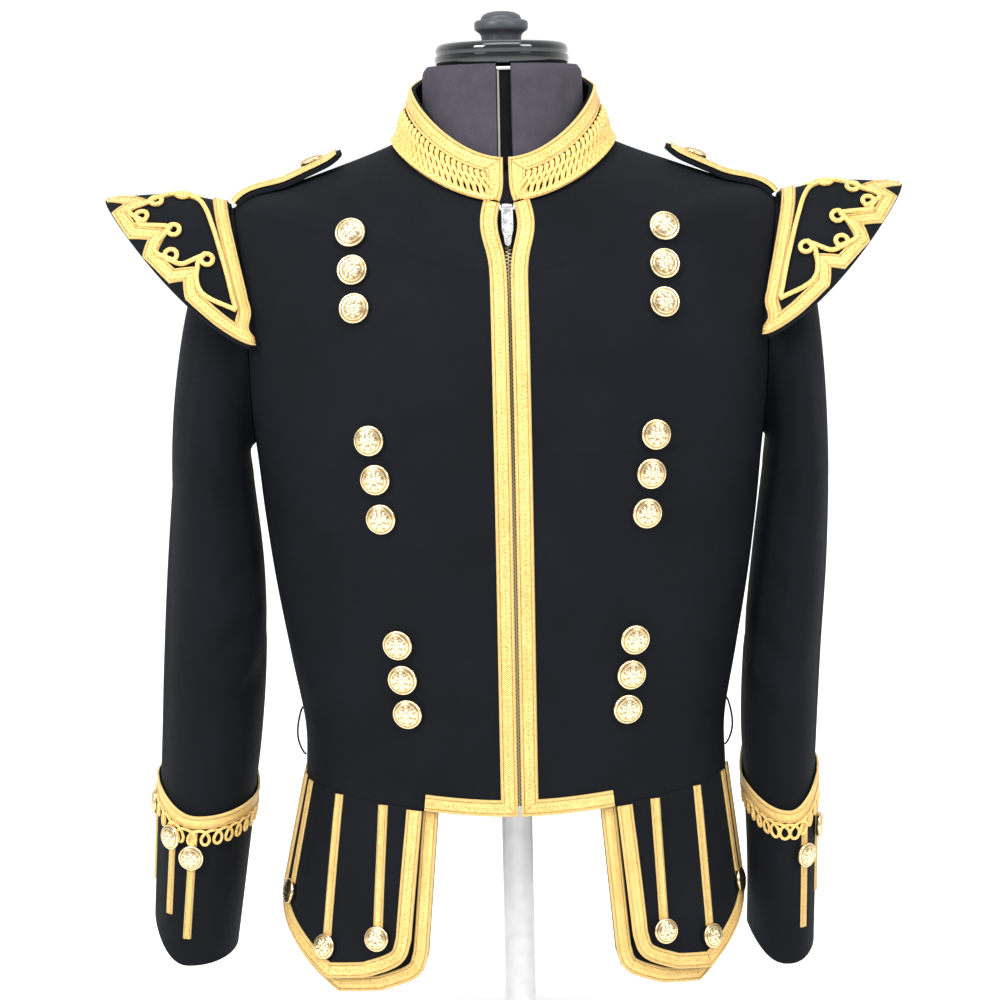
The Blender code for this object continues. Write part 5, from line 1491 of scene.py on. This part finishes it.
def make_cuff_trims():
    """Braid round the top of each cuff over a row of cord loops, and three buttoned stripes."""
    lift = CUFF_PROUD + TRIM_LIFT
    for side in (-1, 1):
        surface, name = SLEEVES[side], f"cuff_trim_{side_name(side)}"
        around = fine(0, 2 * math.pi, 181)
        run = np.stack([around, cuff_row(side, around, 0.0)], axis=1)
        laces = [ribbon_mesh(f"{name}_band", surface, [run[:-1]], CUFF_BAND / 2, CUFF_BAND / 2,
                             lift, closed=True)]
        turn = fine(0, CUFF_LOOPS, CUFF_LOOPS * 26)[:-1] * 2 * math.pi
        pitch = run_length(surface, run)[-1] / CUFF_LOOPS
        drop = CUFF_LOOP_DROP - CUFF_LOOP_RISE * np.cos(turn)
        swing = CUFF_LOOP_SWING * pitch * np.sin(turn)
        p = turn / CUFF_LOOPS
        p, q = moved(surface, p, cuff_row(side, p, drop), swing, 0.0)
        loops = cord_on(f"{name}_loops", surface, np.stack([p, q], axis=1), CUFF_LOOP_CORD,
                        lift, 6, True)
        buttons = []
        for k, (angle, button_drop, end) in enumerate(CUFF_BUTTONS[side]):
            a = math.radians(angle)
            stripe = straight((a, cuff_row(side, a, CUFF_STRIPE_TOP)),
                              (a, cuff_row(side, a, end)))
            laces.append(ribbon_mesh(f"{name}_stripe_{k}", surface, stripe, CUFF_STRIPE / 2,
                                     CUFF_STRIPE / 2, lift, 0.0014, NARROW_SECTION))
            buttons.append(button_on(f"{name}_button_{k}", surface, a,
                                     cuff_row(side, a, button_drop), lift + TRIM_BUTTON_LIFT,
                                     SMALL_BUTTON_RADIUS))
        lace_piece(name, joined_mesh(f"{name}_lace", laces))
        new_piece(f"{name}_loops", loops, CORD, "gold_braid", "doublet", name)
        buttons_piece(name, buttons)


def make_strap_trims():
    """Braid round each strap's edge, and its button."""
    half = strap_rows(0.18, 14)
    rows = np.concatenate([half, half[::-1][1:]])
    sign = np.sign(np.arange(len(rows)) - (len(half) - 1.0))
    length = STRAP_ROWS[1] - STRAP_ROWS[0]
    outer = strap_half_width(rows) * 0.97
    inner_rows = np.minimum(rows, STRAP_ROWS[0] + STRAP_ROUND * length)
    inner = np.maximum(outer - STRAP_BRAID, 0.003)
    shares, heights = np.array(BRAID_SECTION).T
    for side in (-1, 1):
        name = f"strap_trim_{side_name(side)}"
        outer_angle = strap_angles(sign, rows, outer)
        inner_angle = strap_angles(sign, inner_rows, inner)
        p = outer_angle + (inner_angle - outer_angle) * shares[:, None]
        q = rows + (inner_rows - rows) * shares[:, None]
        base = STRAP_CLOTH + strap_lift(q) + TRIM_LIFT
        top = BODY.at(side * p, q, base + BRAID_THICK * heights[:, None])
        low = BODY.at(side * p, q, base)
        along = np.broadcast_to(lengths(top[:1], 1), p.shape)
        uv = np.stack([np.broadcast_to(shares[:, None], p.shape), along], axis=-1)
        lace_piece(name, shell_mesh(f"{name}_lace", top, low, uv=uv))
        row = STRAP_ROWS[0] + STRAP_BUTTON * length
        lift = STRAP_CLOTH + float(strap_lift(np.array(row))) + STRAP_BUTTON_LIFT
        mesh = button_on(f"strap_button_{side_name(side)}", BODY, side * math.pi / 2, row, lift,
                         SMALL_BUTTON_RADIUS)
        new_piece(f"strap_button_{side_name(side)}", mesh, GILT_METAL, "gilt", "doublet", name)


def make_skirt_trims():
    """Braid round each skirt, and three stripes with a button at the foot of each."""
    for (side, behind), surface in SKIRTS.items():
        where = f"{'back' if behind else 'front'}_{side_name(side)}"
        if not behind:
            name = f"under_skirt_braid_{side_name(side)}"
            mesh = ribbon_mesh(f"{name}_lace", surface,
                               skirt_edge(UNDER_SKIRT_SHIFT, UNDER_SKIRT_DROP), 0.0,
                               SKIRT_BRAID, UNDER_SKIRT_LIFT + TRIM_LIFT)
            lace_piece(name, mesh)
        name = f"skirt_trim_{where}"
        laces = [ribbon_mesh(f"{name}_edge", surface, skirt_edge(0.0, 0.0), 0.0, SKIRT_BRAID,
                             TRIM_LIFT)]
        buttons = []
        for k, (top, end, drop) in enumerate(SKIRT_STRIPES):
            stripe = straight((math.radians(top), SKIRT_TOP), (math.radians(end), drop))
            laces.append(ribbon_mesh(f"{name}_stripe_{k}", surface, stripe, NARROW_BRAID / 2,
                                     NARROW_BRAID / 2, TRIM_LIFT, 0.0015, NARROW_SECTION))
            buttons.append(button_on(f"{name}_button_{k}", surface, math.radians(end), drop,
                                     TRIM_LIFT + TRIM_BUTTON_LIFT, SMALL_BUTTON_RADIUS))
        lace_piece(name, joined_mesh(f"{name}_lace", laces))
        buttons_piece(name, buttons)


# Zip


def make_zip():
    """Two tapes behind the front edges, and a chain of interlocked teeth below the slider."""
    rows = fine(ZIP_FOOT_ROW, ZIP_TOP_ROW, 150)
    z = body_shape(np.full_like(rows, 0.03), rows)[:, 2]
    above = np.clip((z - PULL_HINGE_HEIGHT + 0.004) / 0.010, 0, 1)
    tapes = []
    for side in (-1, 1):
        inner = angle_at_reach(0.0002 + 0.0016 * above, rows)
        outer = angle_at_reach(np.full_like(rows, ZIP_TAPE_HALF), rows)
        angle = inner[:, None] + (outer - inner)[:, None] * fine(0, 1, 7)
        tapes.append(cloth_mesh(f"zip_tape_{side}", PLAIN_BODY, (side * angle)[:, ::side],
                                rows[:, None], ZIP_TAPE_THICK, -CLOTH - 0.0005))
    new_piece("zip_tapes", joined_mesh("zip_tapes", tapes), BLACK_TAPE, "zip_tape", "doublet",
              "zip")
    line = fine(*TOOTH_ROWS, 600)
    far = run_length(PLAIN_BODY, np.stack([0 * line, line], axis=1))
    count = int(far[-1] / (TOOTH_PITCH / 2))
    row = np.interp(fine(0, far[-1], count), far, line)
    side = np.where(np.arange(count) % 2, 1.0, -1.0)
    height = body_shape(0 * row, row)[:, 2]
    parted = TOOTH_PART * np.clip((height - PULL_HINGE_HEIGHT + 0.006) / 0.012, 0, 1)
    reach = side * (TOOTH_REACH + parted)
    angle = reach / np.linalg.norm(PLAIN_BODY.slopes(0 * row, row)[0], axis=-1)
    place = PLAIN_BODY.at(angle, row, -CLOTH + TOOTH_RISE)
    out = PLAIN_BODY.normal(0 * row, row)
    across = np.broadcast_to(np.array([1.0, 0, 0]), out.shape)
    up = np.cross(across, out)
    corner = np.array([(x, y, w) for x in (-.5, .5) for y in (-.5, .5) for w in (-.5, .5)])
    corner = corner * TOOTH_SIZE
    points = (place[:, None] + across[:, None] * corner[:, :1] + up[:, None] * corner[:, 1:2]
              + out[:, None] * corner[:, 2:])
    faces = np.array([(0, 1, 3, 2), (4, 6, 7, 5), (0, 4, 5, 1), (2, 3, 7, 6), (0, 2, 6, 4),
                      (1, 5, 7, 3)])
    handed = np.linalg.det(np.stack([across[0], up[0], out[0]]))
    quads = (faces if handed > 0 else faces[:, ::-1])[None] + 8 * np.arange(count)[:, None, None]
    quads = quads.reshape(-1, 4)
    uv = np.zeros((len(points) * 8, 2))
    mesh = new_mesh("zip_teeth", points.reshape(-1, 3), quads, uv, quads)
    new_piece("zip_teeth", mesh, BRASS_METAL, "zip_metal", "doublet", "zip")


def zip_frame():
    """The zip's directions at the slider, and the point on the chain under the hinge."""
    angle, row = front_point(1e-5, PULL_HINGE_HEIGHT)
    low_angle, low_row = front_point(1e-5, PULL_HINGE_HEIGHT - PULL_LENGTH)
    top = Vector(PLAIN_BODY.at(angle[0], row[0]))
    low = Vector(PLAIN_BODY.at(low_angle[0], low_row[0]))
    up = top - low
    up.x = 0.0
    up.normalize()
    out = Vector((1, 0, 0)).cross(up)
    top.x = 0.0
    return up, out, top


# Outline of the pull tab, as shares of its half width and of its length below the hinge
PULL_OUTLINE = (
    (0.62, 0.04), (0.92, -0.02), (1.00, -0.12), (1.00, -0.56), (0.86, -0.66), (0.66, -0.78),
    (0.60, -0.90), (0.40, -0.97), (0.0, -1.0),
)


def make_pull():
    """Pull tab: a bright tapered plate with a sunk panel and a small eye at its foot."""
    up, out, top = zip_frame()
    hinge = top + out * PULL_HINGE_RISE
    half = np.array(PULL_OUTLINE) * (PULL_WIDTH / 2, PULL_LENGTH)
    ring = np.concatenate([half, half[-2::-1] * (-1, 1)])
    centre = np.array([0.0, ring[:, 1].mean()])
    inset = centre + (ring - centre) * (0.72, 0.86)
    deep = PULL_THICK / 2
    layers = [(centre + (ring - centre) * 0.93, -deep), (ring, -deep * 0.6), (ring, deep * 0.6),
              (centre + (ring - centre) * (0.92, 0.97), deep), (inset, deep),
              (centre + (inset - centre) * 0.93, deep * 0.45)]
    points = np.array([[(x, y, z) for x, y in loop] for loop, z in layers])
    turned = np.array([[1, 0, 0], list(up), list(out)])
    world = points.reshape(-1, 3) @ turned + np.array(hinge)
    count = len(ring)
    quads = grid_quads(len(layers), count, True)
    uv = np.zeros((len(world), 2))
    caps = (np.arange(count)[::-1], (len(layers) - 1) * count + np.arange(count))
    mesh = new_mesh("pull_tab", world, quads, uv, quads, caps)
    mesh.set_sharp_from_angle(angle=math.radians(30))
    fix_outward(mesh)
    new_piece("pull_tab", mesh, NICKEL_METAL, "zip_metal", "zip_pull", "zip_pull")


def fix_outward(mesh):
    """Turns a closed mesh's faces outward if its volume comes out negative."""
    mesh.calc_loop_triangles()
    co = np.zeros(len(mesh.vertices) * 3, np.float32)
    mesh.vertices.foreach_get("co", co)
    tri = np.zeros(len(mesh.loop_triangles) * 3, np.int32)
    mesh.loop_triangles.foreach_get("vertices", tri)
    a, b, c = co.reshape(-1, 3).astype(float)[tri.reshape(-1, 3)].transpose(1, 0, 2)
    if np.sum(a * np.cross(b, c)) < 0:
        mesh.flip_normals()


# Dress form and stand


def form_ring(angle, v):
    """Point of the form's torso: the doublet's body, moved in by the clearance."""
    ease = np.interp(v, *np.array(FORM_EASE).T)
    near = np.exp(-(np.sin(angle) * 0.11 / 0.020) ** 2) * (np.cos(angle) > 0)
    return PLAIN_BODY.at(angle, v, -(CLOTH + ease + FORM_ZIP_EASE * near))


def make_form():
    """Torso and neck as one closed body, with the long slit where its halves part."""
    edge = math.asin(SLIT_HALF / 0.055)
    wide = fine(edge * 1.12, 2 * math.pi - edge * 1.12, 200)
    angle = np.concatenate([[0.0, edge * 0.5, edge * 0.97, edge * 1.02], wide,
                            [2 * math.pi - edge * k for k in (1.02, 0.97, 0.5)]])
    lowest = row_at_height(angle, FORM_BOTTOM)
    start = PLAIN_BODY.at(angle, lowest, -(CLOTH + FORM_EASE[0][1]))
    start[:, 2] = FORM_BOTTOM
    rows = fine(1.0, NECK_ROW, 90)
    grids = [start[None], form_ring(angle[None] + 0 * rows[:, None], rows[:, None] + 0 * angle)]
    neck = Surface(lambda a, v: oval_point(a, smooth_rows(FORM_NECK_ROWS, v)))
    rows = fine(0, 4, 44)[:, None]
    sunk = np.where(np.abs(np.sin(angle)) < math.sin(edge), SLIT_DEPTH, 0.0) * (np.cos(angle) > 0)
    grids.append(neck.at(angle + 0 * rows, rows + 0 * angle, -sunk + 0 * rows))
    points = np.concatenate(grids)
    count, sides = points.shape[:2]
    shown = np.concatenate([points, points[:, :1]], axis=1)
    uv = np.stack([lengths(shown, 1), lengths(shown, 0)], axis=-1).reshape(-1, 2)
    caps = (np.arange(sides)[::-1], (count - 1) * sides + np.arange(sides))
    mesh = new_mesh("form_body", points.reshape(-1, 3), grid_quads(count, sides, True), uv,
                    grid_quads(count, sides + 1), caps)
    fix_outward(mesh)
    new_piece("form_body", mesh, JERSEY, "form_cloth", "doublet", "form_torso")
    make_slit(neck, edge)
    for name, material, low, high in (("cap_knob", SATIN_KNOB, CAP_JOINT, 1.0),
                                      ("cap_ring", GLOSS_BLACK, 0.0, CAP_JOINT)):
        outline = [(r, z) for r, z in CAP_PROFILE if low <= z <= high]
        outline = outline + [(0.0, low)] if low else [(0.0, outline[0][1])] + outline
        new_piece(name, turned_mesh(name, outline, 72), material, "form_plastic", "doublet",
                  "form_cap")
    new_piece("stand_body", turned_mesh("stand_body", STAND_PROFILE, 96), WHITE_METAL,
              "stand_paint", "doublet", "form_stand")


def make_slit(neck, edge):
    """What shows in the neck's slit: black inside, a pale strip and a white tab at the top."""
    for name, first, last, low, high, deep, thick, material in (
        ("slit_dark", -0.96, 0.96, 0.2, 3.97, 0.0052, 0.0012, DULL_BLACK),
        ("slit_strip", -0.88, -0.60, 0.2, 3.70, 0.0036, 0.0014, PALE_PLASTIC),
        ("slit_tab", -0.92, 0.92, 3.30, 3.62, 0.0012, 0.0030, WHITE_PLASTIC),
    ):
        rows = fine(low, high, 30)[:, None]
        angle = edge * fine(first, last, 7) + 0 * rows
        mesh = cloth_mesh(name, neck, angle, rows, thick, -deep)
        new_piece(name, mesh, material, "form_plastic", "doublet", "form_torso")


def make_thread_loops():
    """A thin black thread loop at each side of the waist."""
    for side in (-1, 1):
        t = fine(0, 1, 30)
        angle, row = np.full(30, side * math.pi / 2), 0.25 + 0.95 * t
        stand_off = 0.0008 + 0.0068 * np.sin(math.pi * t) ** 0.7
        centres = BODY.at(angle, row, stand_off)
        name = f"thread_loop_{side_name(side)}"
        mesh = cord_mesh(name, centres, BODY.normal(angle, row), 0.0008, 8)
        new_piece(name, mesh, BLACK_TAPE, "wool", "doublet")


# Stage


def make_camera():
    data = bpy.data.cameras.new("photo_view")
    data.sensor_fit = "HORIZONTAL"
    data.sensor_width = SENSOR
    data.lens = CAMERA_LENS
    camera = bpy.data.objects.new("photo_view", data)
    bpy.context.scene.collection.objects.link(camera)
    pitch = Matrix.Rotation(math.radians(90 - CAMERA_PITCH), 4, "X")
    roll = Matrix.Rotation(math.radians(-CAMERA_ROLL), 4, "Z")
    turn = Matrix.Rotation(math.radians(-CAMERA_TURN), 4, "Z")
    camera.matrix_world = Matrix.Translation(CAMERA_PLACE) @ turn @ pitch @ roll
    bpy.context.scene.camera = camera


def make_light(name, place, aim, size, power):
    data = bpy.data.lights.new(name, "AREA")
    data.shape = "RECTANGLE"
    data.size, data.size_y = size
    data.energy = power
    lamp = bpy.data.objects.new(name, data)
    bpy.context.scene.collection.objects.link(lamp)
    lamp.location = place
    way = Vector((0, 0, aim)) - Vector(place)
    lamp.rotation_euler = way.to_track_quat("-Z", "Y").to_euler()


def make_stage():
    """A pale floor that glows a little away from the stand, soft lamps at both sides and
    above, and a pale room."""
    corners = [(x * FLOOR_HALF, y * FLOOR_HALF, 0) for x, y in ((-1, -1), (1, -1), (1, 1), (-1, 1))]
    floor = bpy.data.meshes.new("floor")
    floor.from_pydata(corners, [], [(0, 1, 2, 3)])
    nodes = Nodes("pale_floor")
    place = nodes.coordinates("Object")
    cloud = nodes.noise(place, 2.0, 2.0, 0.5)
    away = nodes.add("ShaderNodeVectorMath", operation="LENGTH")
    nodes.link(place, away.inputs[0])
    nodes.finish(nodes.ramp(cloud, (0.3, tuple(c * 0.99 for c in FLOOR_WHITE)),
                            (0.7, FLOOR_WHITE)), 0.9, 0.0, Specular_IOR_Level=0.0,
                 Emission_Color=(1.0, 1.0, 1.0, 1.0))
    glow = nodes.range(away.outputs["Value"], GLOW_NEAR, GLOW_FAR, 0.0, FLOOR_GLOW)
    nodes.link(glow, nodes.shader.inputs["Emission Strength"])
    floor.materials.append(nodes.material)
    obj = bpy.data.objects.new("floor", floor)
    bpy.context.scene.collection.objects.link(obj)
    make_room()
    for lamp in LAMPS:
        make_light(*lamp)
    bpy.context.scene.view_settings.view_transform = "Standard"


def make_room():
    """White behind the doublet and dimmer in front of it, so that the metal has contrast."""
    world = bpy.data.worlds.new("white_room")
    world.use_nodes = True
    tree = world.node_tree
    way = tree.nodes.new("ShaderNodeTexCoord")
    split = tree.nodes.new("ShaderNodeSeparateXYZ")
    fade = tree.nodes.new("ShaderNodeMapRange")
    tree.links.new(way.outputs["Generated"], split.inputs[0])
    tree.links.new(split.outputs[1], fade.inputs["Value"])
    fade.inputs["From Min"].default_value = -0.3
    fade.inputs["From Max"].default_value = 0.5
    rise = tree.nodes.new("ShaderNodeMapRange")
    tree.links.new(split.outputs[2], rise.inputs["Value"])
    rise.inputs["From Min"].default_value = -0.5
    rise.inputs["From Max"].default_value = 0.7
    rise.inputs["To Min"].default_value = ROOM_LOW
    rise.inputs["To Max"].default_value = ROOM_HIGH
    tree.links.new(rise.outputs["Result"], fade.inputs["To Min"])
    fade.inputs["To Max"].default_value = ROOM_BACK
    tree.links.new(fade.outputs["Result"], tree.nodes["Background"].inputs["Strength"])
    tree.nodes["Background"].inputs["Color"].default_value = (1.0, 1.0, 1.0, 1.0)
    bpy.context.scene.world = world


make_camera()
make_form()
make_fronts()
make_back()
make_collar()
make_sleeves()
make_wings()
make_straps()
make_skirts()
make_breast_buttons()
make_front_braids()
make_collar_braid()
make_collar_fret()
make_wing_braids()
make_cuff_trims()
make_strap_trims()
make_skirt_trims()
make_zip()
make_pull()
make_thread_loops()
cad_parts["zip_slider"].data.materials.clear()
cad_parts["zip_slider"].data.materials.append(NICKEL_METAL)
make_stage()
